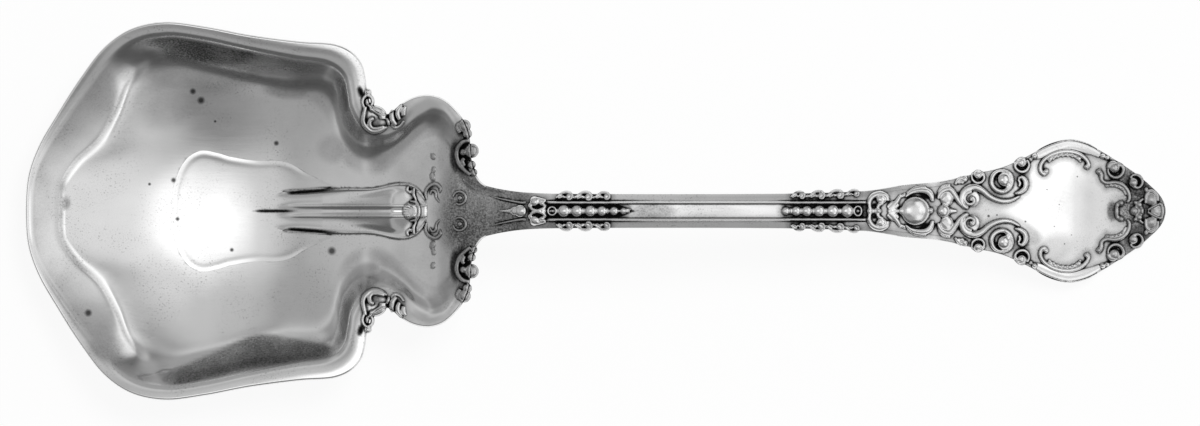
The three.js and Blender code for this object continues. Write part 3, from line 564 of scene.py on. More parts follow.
def mesh_piece(name, points_mm, faces, material, values):
    """A closed mesh in metres from points in millimetres, with doubles merged and faces turned outwards."""
    mesh = bpy.data.meshes.new(name)
    mesh.from_pydata((points_mm + np.array([SEAM, 0, 0])) * MM, [], faces)
    for key, numbers in values.items():
        layer = mesh.attributes.new(key, "FLOAT", "POINT")
        layer.data.foreach_set("value", np.ascontiguousarray(numbers, "f"))
    shape = bmesh.new()
    shape.from_mesh(mesh)
    bmesh.ops.remove_doubles(shape, verts=shape.verts, dist=DOUBLES)
    bmesh.ops.recalc_face_normals(shape, faces=shape.faces)
    shape.to_mesh(mesh)
    shape.free()
    mesh.shade_smooth()
    mesh.set_sharp_from_angle(angle=SHARP_ANGLE)
    mesh.materials.append(material)
    return placed(name, mesh)


bowl = mesh_piece(
    "silver_bowl", both, all_faces, bowl_silver,
    {"stain": stain, "recess": np.concatenate([recess, recess])},
)
print("bowl:", len(bowl.data.polygons), "faces")

# %% [markdown]
# ## Handle
# The handle is a bar forged to an arch and spread into a plate at its end. It could be a curve with a
# bevel, but its section changes all the way: a neck, a shank with a sunk channel between two rails, then
# the plate. So it is lofted through sections, close together where relief will sit.

# %% Outline, arch and sections of the handle
SHANK_END = 76.6
PLATE_END = 136.2
SHANK_EDGE = [(0, 5), (2.6, 4.4), (6.6, 3.8), (12, 3.5), (20, 3.4), (50, 3.4), (66, 3.6), (SHANK_END, 4.1)]
PLATE_EDGE = [
    (82.6, 5.1), (90.6, 5.9), (98.6, 7.7), (102.6, 8.6), (106.6, 10.2), (110.6, 12.2), (113.6, 13.5),
    (116.6, 14.2), (119.6, 13.7), (122.6, 12.4), (126.6, 10), (130.6, 7.3), (133.1, 5.2), (135, 3.3),
    (135.9, 1.8), (PLATE_END, 0.7),
]
ARCH = [
    (0, NECK_TOP), (4, NECK_TOP + 1.15), (11, NECK_TOP + 2.6), (22, NECK_TOP + 3.6), (42, NECK_TOP + 3.6),
    (SHANK_END, NECK_TOP - 1), (102, 10.84), (114, 5.75), (118, 4.1), (122, 2.75), (126, 1.95), (130, 1.7),
    (PLATE_END, 2.1),
]
THICKNESS = [(0, NECK_WALL), (SHANK_END, NECK_WALL), (110, 2.2), (PLATE_END, 2.2)]
CHANNEL_HALF = 1.45
CHANNEL_DEPTH = 0.55
RAIL_AT = CHANNEL_HALF + 0.28
RAIL_HALF = 0.24
RAIL_HEIGHT = 0.3
BLEND = 41  # sections over which the two spacings across pass into each other

places = np.concatenate([
    [0, 0.02, 0.04], np.linspace(0.25, 12, 47, endpoint=False), np.linspace(12, 30, 90, endpoint=False),
    np.linspace(30, 58, 56, endpoint=False), np.linspace(58, 134, 380, endpoint=False),
    np.linspace(134, PLATE_END, 26),
])
half = through(SHANK_EDGE + PLATE_EDGE, places)
thick = through(THICKNESS, places)
in_channel = window(11.4, 12.8, 75, 76.2, places)
at_neck = ease(8, 0, places)


def handle_top(share):
    """Height of the top below the arch, at a share of the half width. At the seam it is the bowl's own."""
    y = half * share
    drop = -0.7 * share ** 2.4
    neck = np.interp(share * half[0], inside[-1, ::-1, 1], inside[-1, ::-1, 2]) - NECK_TOP
    channel = -CHANNEL_DEPTH * ease(CHANNEL_HALF, CHANNEL_HALF - 0.22, y)
    rail = RAIL_HEIGHT * np.exp(-(((y - RAIL_AT) / RAIL_HALF) ** 4))
    return drop * (1 - at_neck) + neck * at_neck + in_channel * (channel + rail)


# Shares of the half width: even over the plate, and set by the rails over the shank
even = np.linspace(0, 1, 46)
rail_places = np.concatenate([
    np.linspace(0, CHANNEL_HALF - 0.3, 8, endpoint=False), np.linspace(CHANNEL_HALF - 0.3, 2.2, 24),
    [2.5, 2.8]
])


def shank_shares(half_here):
    return np.concatenate([rail_places / half_here, np.linspace(2.9 / half_here, 1, 12)])


spaced = [shank_shares(width) if x < SHANK_END else even for x, width in zip(places, half)]
shares = np.array(spaced)
for k in range(shares.shape[1]):
    shares[:, k] = np.convolve(np.pad(shares[:, k], BLEND // 2, "edge"), np.ones(BLEND) / BLEND, "valid")
top = np.stack([handle_top(shares[:, k]) for k in range(shares.shape[1])], 1)
print("handle sections:", len(places), "with", shares.shape[1], "points across each half of the top")

# %% [markdown]
# The sections are closed round the edge and the flat underside, then mirrored. Black has settled in the
# channel under the beads, beside the rails, along the neck's lines and in the ground of the relief. It
# could be painted, but each of these places is a band or a patch at a known distance, so a formula gives
# it.

# %% Handle mesh
def loft_faces(rings):
    """Faces of a loft through closed rings of points, with both ends capped."""
    index = np.arange(rings[..., 0].size).reshape(rings.shape[:2])
    turned = np.roll(index, -1, axis=1)
    sides = np.stack([index[:-1], index[1:], turned[1:], turned[:-1]], -1).reshape(-1, 4).tolist()
    return sides + [index[0].tolist(), index[-1][::-1].tolist()]


def both_sides(spots):
    return spots + [
        (x, -y, length, width, -turn, strength)
        for x, y, length, width, turn, strength in spots
    ]


arch = through(ARCH, places)
edge_low = top[:, -1] - (thick + top[:, -1]) * 0.45
EDGE_ROUND = 0.12
around = [
    (half, top[:, -1] - EDGE_ROUND), (half, edge_low), (half * 0.97, edge_low - 0.3 * (thick + edge_low)),
    (half * 0.86, -thick * 0.94), (half * 0.7, -thick), (half * 0.4, -thick), (half * 0.15, -thick),
    (half * 0, -thick),
]
pull = 1 - EDGE_ROUND / half * (np.arange(shares.shape[1]) == shares.shape[1] - 1)[:, None]
section_y = np.concatenate([shares * half[:, None] * pull.T, np.stack([y for y, _ in around], 1)], 1)
section_z = np.concatenate([top, np.stack([z for _, z in around], 1)], 1)
half_ring = np.stack([
    np.broadcast_to(places[:, None], section_y.shape), section_y,
    np.maximum(arch[:, None] + section_z, 0.0),
], 2)
mirrored = half_ring[:, -2:0:-1] * (1, -1, 1)
handle_points = np.concatenate([half_ring, mirrored], 1)

# Black in the channel under the beads, and along the rails near the collars
flat_y = np.abs(handle_points[..., 1])
on_top = handle_points[..., 2] > (arch - thick * 0.5)[:, None]
x_all = handle_points[..., 0]
beaded = window(12, 12.8, 28.5, 30.5, x_all) + 0.6 * window(57.5, 61, 75.6, 76.4, x_all)
black_half = CHANNEL_HALF * (1 - 0.8 * window(26, 29.4, 40, 45, x_all))
sunk = beaded * ease(black_half + 0.12, black_half - 0.25, flat_y)
beside = bell(flat_y - RAIL_AT - 0.36, 0.16) * (
    0.95 * window(11, 13, 20, 36, x_all) + 0.75 * window(56, 62, 75, 76.5, x_all)
    + 0.45 * window(11, 13, 75, 76.5, x_all)
)
inner_line = bell(flat_y - CHANNEL_HALF + 0.02, 0.14) * 0.55 * in_channel[:, None]
rail_y = np.interp(x_all, [0, 2.6, 5, 7.4], [3.2, 2.5, 2, 1.65])
neck_lines = 0.9 * bell(np.abs(flat_y - rail_y) - 0.34, 0.15) * window(0.6, 3.4, 7.6, 8.6, x_all)
border_line = 0.6 * bell(half[:, None] - 0.9 - flat_y, 0.13) * window(77, 80, 94, 97, x_all)
MIDDLE_GROUND = [
    (8.9, 0, 0.6, 1.9, 0, 1), (88, 0, 2, 4.6, 0, 0.35), (132, 0, 4, 5, 0, 0.5),
    (125.4, 0, 1.2, 2.4, 0, 0.6),
]
SIDE_GROUND = [
    (100, 5, 6, 3.4, 0.35, 0.3), (130.5, 5, 4, 2.6, -0.6, 0.6), (107, 7.4, 2, 2.6, 0, 0.5),
    (87.3, 3.1, 1.5, 0.75, -0.5, 0.9), (92.6, 2.2, 0.8, 0.9, 0, 0.6), (10.2, 1.05, 0.4, 0.4, 0, 1),
    (77.3, 1.2, 0.45, 0.45, 0, 1), (12.1, 1.3, 0.4, 0.6, 0, 0.9),
]
ground_black = blots(handle_points, MIDDLE_GROUND + both_sides(SIDE_GROUND))
handle_recess = np.maximum.reduce([
    sunk, np.minimum(beside, 1), inner_line, neck_lines, ground_black, border_line,
]) * on_top
# Patches of tarnish; the two low on the plate, at 107.4 and 113 mm, are painted shade
HANDLE_STAINS_AND_SHADE = [
    (1, 0, 11, 8, 0, 0.8), (8, -3, 6, 1.6, 0, 0.4), (21, 0, 8, 1.2, 0, 0.3), (14, -2.8, 6, 0.9, 0, 0.6),
    (107.4, -4, 5, 2, -0.6, 0.42), (113, -8, 5, 3, 0.5, 0.28), (132, 0, 7, 6, 0, 0.75),
    (33, 0, 6, 1.5, 0, 0.5), (43, 0, 10, 1.3, 0, 0.25), (118, 2, 4, 6, 0.4, 0.12),
    (129, 6, 6, 3.4, -0.6, 0.7), (129, -6, 6, 3.4, 0.6, 0.7), (92, 3, 6, 2, 0, 0.25),
    (92, -3, 6, 2, 0, 0.2), (80, 0, 4, 3, 0, 0.25),
]
handle = mesh_piece(
    "silver_handle", handle_points.reshape(-1, 3), loft_faces(handle_points), handle_silver,
    {
        "stain": (blots(handle_points, HANDLE_STAINS_AND_SHADE) * on_top).reshape(-1),
        "recess": handle_recess.reshape(-1),
    },
)
print("handle:", len(handle.data.polygons), "faces")

# %% [markdown]
# ## Tongue in the bowl
# From the heel a raised tongue runs down into the bowl. It starts as two flutes with a rib between them and
# spreads into a broad low lobe. It could be embossed in the bowl's own mesh, but a mesh of its own can be
# as fine as the flutes need. Its height above the bowl's floor is a formula of its plan, as the floor's own
# is.

# %% Tongue mesh
LOBE = [
    (-63.8, 0), (-63.6, 3.4), (-63, 6.2), (-62, 8.8), (-60.2, 11.2), (-57.4, 12.5), (-54, 12),
    (-51.6, 11.3), (-46.4, 10.5), (-42, 10.5), (-39, 9.7), (-36.2, 8), (-32, 6), (-29.4, 5.2), (-26, 4.9),
    (-23, 5), (-20, 5.6), (-18, 6), (-15.6, 5.8), (-13.9, 5), (-12.8, 3.9), (-12.1, 2.5), (-11.85, 1.2),
    (-11.8, 0),
]
FLUTED = [
    (-46, 2), (-41.5, 3.5), (-36, 4), (-29, 4.5), (-23, 4.6), (-18, 5.5), (-15, 5.3), (-12.9, 3.6),
    (-11.8, 1),
]
LOBE_LENGTH = 52
BORDER_SINK = 0.015  # depth of its border in the bowl's floor
ROOT_SINK = 0.5  # depth of its underside
FLUTED_SHARE = 0.75  # of the points across lie on the fluted part
ends_closer = np.concatenate([
    np.linspace(0, 1, 36, endpoint=False) ** 2 * 0.08, np.linspace(0.08, 0.95, 180, endpoint=False),
    1 - 0.05 * np.linspace(1, 0, 30) ** 2,
])
lobe_x = LOBE[0][0] + LOBE_LENGTH * ends_closer
lobe_half = np.maximum(through(LOBE, lobe_x), 0.02)
across = np.linspace(-1, 1, 121)
fluted_part = np.minimum(0.93 * lobe_half, 6.2)[:, None]
past = np.clip((np.abs(across) - FLUTED_SHARE) / (1 - FLUTED_SHARE), 0, 1) ** 0.6
tongue_y = np.sign(across) * (
    fluted_part * np.minimum(np.abs(across) / FLUTED_SHARE, 1) + (lobe_half[:, None] - fluted_part) * past
)
tongue_x = np.broadcast_to(lobe_x[:, None], tongue_y.shape)
border = np.stack([lobe_x, lobe_half], 1)
border = np.concatenate([border, border * (1, -1)])
inland = np.min(np.hypot(tongue_x[..., None] - border[:, 0], tongue_y[..., None] - border[:, 1]), axis=2)
# Parts of its height: the step at its border, then flutes, ribs and the shelf at its root
step = 0.05 * ease(0, 1.6, inland) + 0.04 * bell(inland - 1, 0.6)
fluted_half = through(FLUTED, lobe_x)[:, None]
off = np.abs(tongue_y)
outer_start = ease(-43, -36, tongue_x)
middle_start = ease(-49, -42, tongue_x)
across_flute = np.clip((off - 1.05) / (fluted_half - 1.25), 0, 1)
outer_hollow = -0.32 * outer_start * np.sin(across_flute * math.pi) ** 0.8
middle_depth = (0.03 + 0.24 * outer_start) * middle_start * ease(-13, -17, tongue_x)
middle_hollow = -middle_depth * ease(1.0, 0.1, off)
rib = 0.12 * outer_start * bell(off - 1.05, 0.22)
brim = 0.2 * outer_start * bell(off - fluted_half + 0.15, 0.3)
groove = -0.2 * ease(-42, -39, tongue_x) * bell(off - fluted_half - 0.28, 0.2)
SHELF = [
    (-33, 0), (-29, 0.22), (-24, 0.8), (-20.2, 1.32), (-18.8, 1.4), (-17.4, 0.9), (-15.4, 0.08), (-14.2, 0),
    (-11.8, 0),
]
swell = through(SHELF, tongue_x) * np.exp(-((tongue_y / 4.2) ** 4)) * ease(0, 2.4, inland)
relief_height = step + 0.4 * outer_start * ease(fluted_half + 0.4, fluted_half - 0.3, off)
relief_height = relief_height + outer_hollow + middle_hollow + rib + brim + groove + swell
ground = floor_height(tongue_x, tongue_y) + SHEET
tongue_top = ground - BORDER_SINK + relief_height * ease(0, 0.6, inland)
tongue_low = ground - ROOT_SINK
shell = np.stack([
    np.concatenate([tongue_x, tongue_x[:, ::-1]], 1), np.concatenate([tongue_y, tongue_y[:, ::-1]], 1),
    np.concatenate([tongue_top, tongue_low[:, ::-1]], 1),
], 2)

# Painted shade in the grooves: dark spears where the flutes start deep, and lines along their edges
along_spear = window(-41.4, -39, -34, -26, tongue_x)
spear_shade = along_spear * bell(off - fluted_half + 0.15, 0.12 + 0.3 * along_spear)
edge_shade_line = 0.8 * ease(-36, -30, tongue_x) * bell(off - fluted_half - 0.25, 0.17)
in_middle = window(-48.6, -45, -41, -36, tongue_x)
middle_spear_shade = in_middle * bell(off, 0.1 + 0.3 * in_middle)
tongue_painted_shade = np.maximum.reduce([spear_shade, edge_shade_line, middle_spear_shade])
tongue_shade_values = np.concatenate([tongue_painted_shade, np.zeros_like(tongue_painted_shade)], 1).reshape(-1)
tongue = mesh_piece(
    "silver_tongue", shell.reshape(-1, 3), loft_faces(shell), bowl_silver,
    {"recess": tongue_shade_values, "stain": np.zeros(len(tongue_shade_values))},
)
print("tongue:", len(tongue.data.polygons), "faces")

# %% [markdown]
# ## Drawing the relief
# The relief is scrolls, beads and leaves. Each is drawn flat, as a jeweller draws it, from two marks: a
# wire, which is a path with a half width at each point, and a dome. A node tree then makes wires into round
# bars and domes into swelled beads, melts them together as casting does, and lays the piece on the metal
# below.

# %% Marks that the relief is drawn with
THIN_RISE = 0.45  # height of a wire where it runs out, as a share of its full height
BAR_RISE = 0.88
BAR_BREADTH = 1.35


def wire(rise, *points):
    """A bar along (along, across, half width) points. It stands rise high where it is widest."""
    widest = max(half_width for _, _, half_width in points)

    def tall(w):
        return rise * (THIN_RISE + (1 - THIN_RISE) * w / widest) / w

    return ("wire", [(x, y, w, tall(w)) for x, y, w in points])


def bar(rise, *points):
    """A stouter wire, for the bold scrolls of the notches, the plate and the crest."""
    return wire(BAR_RISE * rise, *[(x, y, BAR_BREADTH * half_width) for x, y, half_width in points])


def dome(x, y, radius, rise, stretch=1, turn=0):
    return ("dome", (x, y, radius, radius * stretch, rise, turn))


def curl(x, y, radius, rise, turn, spin=1):
    """A roundel: a ring whose end curls into a dome. The ring's middle lies towards turn."""
    rod = radius * 0.2
    marks = [dome(x, y, radius * 0.9, 0.12)]
    path = []
    for angle in np.linspace(-2.2, 2.9, 14):
        inwards = float(ease(1.3, 2.9, angle))
        far = radius - rod - radius * 0.4 * inwards
        way = turn + spin * angle
        thick_here = rod * (0.6 + 0.4 * float(ease(-2.2, -0.8, angle)) + 0.9 * inwards)
        path.append((x + math.cos(way) * far, y + math.sin(way) * far, thick_here))
    marks.append(wire(rise * 0.75, *path))
    off = radius * 0.26
    marks.append(dome(x - math.cos(turn) * off, y - math.sin(turn) * off, radius * 0.6, rise * 0.92))
    return marks


def ring(x, along, across, half_width):
    angles = np.linspace(0, 2 * math.pi, 13)
    return [(x + along * math.cos(a), across * math.sin(a), half_width) for a in angles]


def mirrored_marks(marks):
    turned_marks = []
    for kind, numbers in marks:
        if kind == "wire":
            turned_marks.append((kind, [(x, -y, w, tall) for x, y, w, tall in numbers]))
        else:
            x, y, rx, ry, rise, turn = numbers
            turned_marks.append((kind, (x, -y, rx, ry, rise, -turn)))
    return turned_marks


def twice(*marks):
    """Marks of one side and their mirror image."""
    return [*marks, *mirrored_marks(marks)]


drawings = {}


def draw_one(node, carrier, *marks):
    groups = [group if isinstance(group, list) else [group] for group in marks]
    drawings[node] = (carrier, sum(groups, []))


def draw_pair(node, carrier, *marks):
    draw_one(node + "_right", carrier, *marks)
    drawings[node + "_left"] = (carrier, mirrored_marks(drawings[node + "_right"][1]))


print("a curl has", len(curl(0, 0, 1, 1, 0)), "marks")

# %% [markdown]
# ### Heel of the bowl
# The notches carry a C-scroll with a hooked stem and a gadrooned leaf. The last corner before the neck has
# a knob, a roundel and lobes. The heel has scrolls, volutes and worn sprays round a small shell.

# %% Draw the heel
draw_pair(
    "notch_scroll", "bowl",
    bar(
        0.95, (-24.1, 20.8, 0.3), (-24.5, 19.2, 0.38), (-24.7, 18, 0.4), (-24.3, 16.9, 0.4),
        (-23.3, 15.95, 0.38), (-22.2, 15.75, 0.36), (-21, 16.1, 0.34), (-19.9, 16.8, 0.2),
    ),
    bar(1.1, (-23.3, 20.4, 0.4), (-21.9, 20.2, 0.62), (-20.9, 19.4, 0.66), (-20.7, 18.3, 0.55)),
    bar(
        0.9, (-22.5, 18.5, 0.36), (-23.1, 18.2, 0.4), (-23.4, 17.5, 0.38), (-23.2, 16.8, 0.36),
        (-22.5, 16.4, 0.34), (-21.4, 16.5, 0.34), (-20.4, 16.9, 0.24),
    ),
    bar(
        0.85, (-24.4, 20.6, 0.24), (-24.75, 21.6, 0.28), (-24.5, 22.6, 0.28), (-23.7, 23.1, 0.3),
        (-22.9, 22.5, 0.3), (-22.8, 21.5, 0.3), (-23.4, 20.7, 0.24),
    ),
    dome(-23.8, 21.7, 0.42, 0.95, 2), dome(-23.7, 23.7, 0.75, 0.8),
    bar(0.8, (-19.9, 18.4, 0.2), (-19.6, 17.8, 0.32), (-19.5, 17.1, 0.2)),
)
draw_pair(
    "notch_leaf", "bowl",
    bar(1, (-18.7, 20.2, 0.24), (-18.95, 19.2, 0.42), (-18.7, 18, 0.46), (-18.05, 17.1, 0.34)),
    bar(1, (-16.9, 21.2, 0.24), (-17.6, 20.2, 0.38), (-17.75, 19.2, 0.4), (-17.35, 18.2, 0.3)),
    bar(0.5, (-16.1, 20.9, 0.2), (-16.6, 20, 0.4), (-16.6, 19, 0.34)),
    bar(0.35, (-19.2, 17.6, 0.2), (-18.4, 16.6, 0.24), (-17.3, 16.9, 0.24), (-16.5, 18, 0.2)),
)
draw_pair(
    "shoulder_scroll", "bowl",
    dome(-4.4, 16.95, 1.3, 1.05), dome(-3.8, 15.4, 0.95, 0.95),
    bar(0.6, (-5.6, 17.6, 0.2), (-5.9, 16.6, 0.28), (-5.2, 15.6, 0.3)),
    dome(-2.95, 12, 1.45, 1.15),
    bar(
        1.1, (-3.3, 14.1, 0.3), (-4.7, 13.7, 0.36), (-5.75, 12.5, 0.38), (-5.95, 10.9, 0.4),
        (-5.4, 9.3, 0.38), (-4.3, 8.1, 0.34), (-3.2, 7.2, 0.3),
    ),
    dome(-4.6, 11.7, 0.75, 1), bar(0.95, (-4.4, 10.5, 0.3), (-4.8, 9.9, 0.36), (-4.3, 9, 0.26)),
    dome(-2.95, 9.2, 0.85, 1.05), dome(-2.5, 7.7, 0.72, 0.95),
    bar(0.4, (-3.4, 10, 0.3), (-3.2, 8.2, 0.3), (-2.6, 7, 0.3)),
)
draw_pair(
    "heel_scroll", "bowl",
    wire(
        0.5, (-12, 2.3, 0.2), (-12.2, 3.8, 0.32), (-11.4, 5, 0.38), (-10.2, 5.4, 0.4), (-9.2, 4.6, 0.32),
        (-9.4, 3.7, 0.2),
    ),
    wire(
        0.45, (-11.3, 3.3, 0.2), (-10.9, 4.1, 0.26), (-10.2, 3.8, 0.3), (-10.1, 2.8, 0.26),
        (-9.4, 1.8, 0.16),
    ),
)
volute_turn = [
    (-5.4 + 1.3 * math.cos(a), 2.6 + 1.3 * math.sin(a), 0.3 - 0.03 * abs(a - 0.4))
    for a in np.linspace(-2.2, 3, 12)
]
draw_pair("heel_volute", "bowl", dome(-5.3, 2.6, 0.5, 0.45), wire(0.45, *volute_turn))
draw_pair(
    "heel_sprig", "bowl", dome(-10.8, 6.8, 0.6, 0.22, 1.4, 0.5), dome(-10.6, 8.2, 0.5, 0.2, 1.5, -0.3),
    dome(-10.7, 10.9, 0.6, 0.22, 1.2, 0.3),
    wire(0.01, (-10.8, 6.8, 0.15), (-10.6, 8.4, 0.15), (-10.7, 10.9, 0.15)),
)
fan = [
    wire(
        0.85, (-14.2, 0, 0.25), (-15.2 + 0.2 * abs(k), 0.22 * k, 0.3),
        (0.12 * k * k - 16.8, 0.52 * k, 0.24),
    )
    for k in range(-3, 4)
]
petals = twice(
    wire(0.8, (-14, 1.3, 0.32), (-14.2, 2.4, 0.24), (-14.6, 3.3, 0.34), (-14.5, 4.6, 0.3)),
    wire(0.6, (-15.2, 3.6, 0.3), (-15.9, 4.2, 0.36), (-15.6, 4.9, 0.26)),
    dome(-14.9, 3.8, 0.5, 0.4),
)
draw_one(
    "tongue_boss", "tongue", dome(-15.1, 0, 1.75, 0.75, 1.15), fan, petals,
    wire(
        0.9, (-15.3, 2, 0.2), (-14.1, 1.7, 0.34), (-13.6, 0.8, 0.34), (-13.5, 0, 0.34),
        (-13.6, -0.8, 0.34), (-14.1, -1.7, 0.34), (-15.3, -2, 0.2),
    ),
)
print("drawn so far:", len(drawings), "pieces")

# %% [markdown]
# ### Shank
# Rails run up the neck to a knotted collar. Beads of falling size lie in the channel at both ends of the
# shank, with thin reels between them, and small scrolls break its edges there.

# %% Draw the shank
draw_pair(
    "neck_rail", "handle",
    wire(0.4, (0.4, 3.15, 0.06), (2.6, 2.5, 0.16), (5, 2, 0.2), (7, 1.65, 0.22), (7.9, 1.7, 0.3)),
)
knot = twice(
    dome(9.6, 1.95, 1.05, 0.95), dome(11.1, 1.6, 0.66, 1), dome(8.7, 1.1, 0.5, 0.7),
    wire(0.85, (8.7, 1.2, 0.3), (9.1, 0.4, 0.36), (10.2, 0, 0.42), (11.4, -0.5, 0.42), (11.9, -1.2, 0.3)),
    wire(0.7, (9.6, 2.6, 0.4), (10.8, 2.3, 0.4), (11.9, 2.1, 0.3)),
)
draw_one(
    "lower_collar", "handle", knot, dome(11.3, 0, 0.8, 0.8, 0.9),
    dome(6.7, 0, 1.35, 0.8, 0.95), wire(0.5, (2.4, 0, 0.12), (4.4, 0, 0.4), (6.2, 0, 0.95)),
    dome(5.6, 0, 0.95, 0.65),
)
lower_row = [(15.4, 1.35), (18, 1.3), (20.7, 1.25), (23, 1.1), (25.4, 0.95), (27.3, 0.75)]
draw_one(
    "lower_beads", "handle", wire(0.3, (12.6, 0, 0.35), (20, 0, 0.35), (28.4, 0, 0.2)),
    wire(0.7, *ring(13.1, 0.8, 0.82, 0.24)),
    [dome(x, 0, r, 0.8 * r) for x, r in lower_row],
    [dome(x, 0, 0.22, 0.6, 3.2) for x in (16.65, 19.3, 21.9, 24.2)],
    [dome(x, 0, 0.16, 0.55, 4) for x in (17.0, 19.65, 22.2)],
    wire(0.6, (27.3, 0, 0.4), (28.2, 0.35, 0.22), (28.9, 0.3, 0.12)),
    wire(0.6, (27.3, 0, 0.4), (28.6, -0.2, 0.2)),
)
upper_row = [(59.6, 0.9), (61.7, 1.05), (63.8, 1.15), (66.3, 1.25), (69, 1.35), (71.9, 1.4)]
draw_one(
    "upper_beads", "handle", wire(0.3, (59, 0, 0.3), (67, 0, 0.35), (74.8, 0, 0.35)),
    wire(0.8, *ring(74, 0.75, 0.95, 0.26)),
    [dome(x, 0, r, 0.75 * r) for x, r in upper_row],
    [dome(x, 0, 0.22, 0.6, 3.2) for x in (60.6, 62.75, 65.05, 67.6, 70.4)], dome(74, 0, 0.4, 0.7),
)


def edge_curls(marks_at, rise):
    """Leafy scrolls along the shank's edge: (along, size). Each rises over the edge and curls back in."""
    marks = []
    for x, size in marks_at:
        y = float(through(SHANK_EDGE, [x])[0]) - 0.1
        outline = [
            (-2, -0.8, 0.14), (-1.2, -0.1, 0.26), (-0.3, 0.35, 0.34), (0.7, 0.3, 0.38), (1.3, -0.3, 0.34),
            (1.1, -0.95, 0.28), (0.45, -1, 0.24), (0.2, -0.5, 0.2),
        ]
        marks.append(wire(rise, *[(x + size * a, y + size * b, size * w) for a, b, w in outline]))
        marks.append(wire(
            rise * 0.8, (x - 1.5 * size, y - 0.9 * size, 0.16 * size),
            (x - 0.8 * size, y - 0.5 * size, 0.26 * size),
            (x - 0.3 * size, y - 0.3 * size, 0.18 * size),
        ))
        marks.append(dome(x + 0.62 * size, y - 0.3 * size, 0.62 * size, 0.72 * rise))
    return marks


draw_pair(
    "lower_edge_scrolls", "handle", edge_curls([(15.8, 0.95), (19.6, 1), (23.3, 0.9)], 0.9),
    wire(0.45, (13.8, 2.75, 0.2), (17, 2.8, 0.34), (21, 2.75, 0.34), (24.8, 2.75, 0.18)),
)
draw_pair(
    "upper_edge_scrolls", "handle",
    edge_curls([(62.2, 0.85), (66, 0.95), (69.7, 1), (73.1, 0.8)], 0.9),
    wire(0.45, (60.6, 2.95, 0.2), (65, 3, 0.34), (70, 3.2, 0.34), (74.2, 3.4, 0.18)),
)
print("drawn so far:", len(drawings), "pieces")

# %% [markdown]
# ### Plate of the handle
# A bow, a husk, a bud in its calyx and a palmette climb the middle. Two volutes open into a bare shield,
# framed by roundels, C-scrolls with a row of pearls and a broad moulding.

# %% Draw the plate
leaf_bow = twice(
    dome(78.7, 2.4, 1.15, 0.85, 0.9, -0.4),
    bar(
        1, (76.4, 0.5, 0.3), (76.3, 1.9, 0.4), (77, 3, 0.46), (78.4, 3.5, 0.44), (79.7, 3, 0.4),
        (80, 2, 0.3),
    ),
    bar(0.9, (77.9, 0.4, 0.3), (78.2, 1.2, 0.34), (79, 1.6, 0.3)),
)
draw_one(
    "upper_collar", "handle", leaf_bow, dome(76.4, 0, 0.7, 0.8, 1.4), dome(78.2, 0, 0.6, 0.9),
    bar(0.6, (76.4, 0, 0.4), (78.2, 0, 0.4)),
)
husk_leaf = twice(
    bar(0.75, (80.2, 0.3, 0.34), (81.2, 1.2, 0.4), (82, 2.2, 0.36), (82.6, 3.3, 0.22)),
    bar(0.6, (80.6, 0.3, 0.24), (81.6, 0.8, 0.28), (82.2, 1.3, 0.2)),
    bar(0.55, (79.9, 0.7, 0.24), (80.4, 1.3, 0.28), (81.1, 1.9, 0.2)),
    dome(83.3, 3.2, 0.34, 0.5, 1.6, -0.5),
    bar(0.5, (82, 2.4, 0.2), (82.7, 2.9, 0.25), (83.3, 3.2, 0.3)),
)
draw_one("husk", "handle", husk_leaf, dome(80.6, 0, 0.75, 0.6), bar(0.6, (80.4, 0, 0.4), (82.3, 0, 0.3)))
draw_one(
    "bud", "handle", dome(85.6, 0, 3, 1.45), bar(1.1, (82.2, 0, 0.3), (83.3, 0, 1.1), (84.6, 0, 2.1)),
    dome(88.6, 0.1, 0.7, 1),
)
draw_pair(
    "bud_calyx", "handle",
    bar(
        1, (83.5, 2.8, 0.16), (84.8, 3.8, 0.34), (86.4, 4.15, 0.46), (87.8, 4, 0.52), (88.7, 3.2, 0.5),
        (89, 1.9, 0.28),
    ),
    bar(0.5, (83.7, 3.6, 0.1), (85.6, 4.75, 0.16), (87.6, 4.85, 0.16)),
)
wing = twice(
    dome(91.9, 2.6, 1.45, 0.75, 1.15),
    bar(
        1.05, (90.1, 2.4, 0.2), (90.5, 3.5, 0.38), (91.4, 4.25, 0.46), (92.6, 4.3, 0.5), (93.5, 3.2, 0.46),
        (94.4, 1.8, 0.38), (95.2, 0.8, 0.2),
    ),
    bar(0.9, (90.9, 2.0, 0.3), (91.7, 2.9, 0.5), (92.4, 3, 0.36)),
    bar(0.5, (90, 3.8, 0.1), (91, 5, 0.15), (92.6, 5.25, 0.15)),
)
draw_one(
    "palmette", "handle", wing, dome(91.3, 0, 1.4, 1.15),
    twice(bar(0.6, (91.5, 0.8, 0.35), (91.4, 1.9, 0.35), (91.8, 2.9, 0.35))),
    bar(0.6, (92.3, 0, 0.5), (93.9, 0, 0.25)),
)
spiral = []
for a in np.linspace(0, 7.0, 16):
    far = 0.25 + 0.19 * a
    spiral.append((96.75 + far * math.cos(2.2 - a), 2.35 + far * math.sin(2.2 - a), 0.2 + 0.02 * a))
draw_pair(
    "volute", "handle", dome(96.8, 2.5, 1.8, 0.32), bar(0.95, *spiral), dome(96.75, 2.35, 0.46, 1),
    bar(
        1, (96.2, 0.55, 0.28), (95.2, 1.1, 0.42), (94.85, 2.4, 0.48), (95.2, 3.7, 0.5), (96.3, 4.6, 0.54),
        (97.7, 4.75, 0.56), (99.1, 4.1, 0.5), (100.4, 3, 0.44), (101.8, 2.25, 0.4), (103.4, 1.95, 0.38),
        (105, 2.2, 0.32), (106.6, 3, 0.18),
    ),
)
draw_pair(
    "edge_sprig", "handle", dome(95.5, 6.4, 0.7, 0.75), dome(94.3, 6, 0.55, 0.6, 1.3),
    bar(0.8, (93.5, 5.3, 0.2), (94.2, 6.1, 0.3), (95, 6.8, 0.26)), dome(95, 5.7, 0.4, 0.5),
)
draw_pair("small_roundel", "handle", curl(98.2, 6.9, 1.6, 1.15, -1.6, 1))
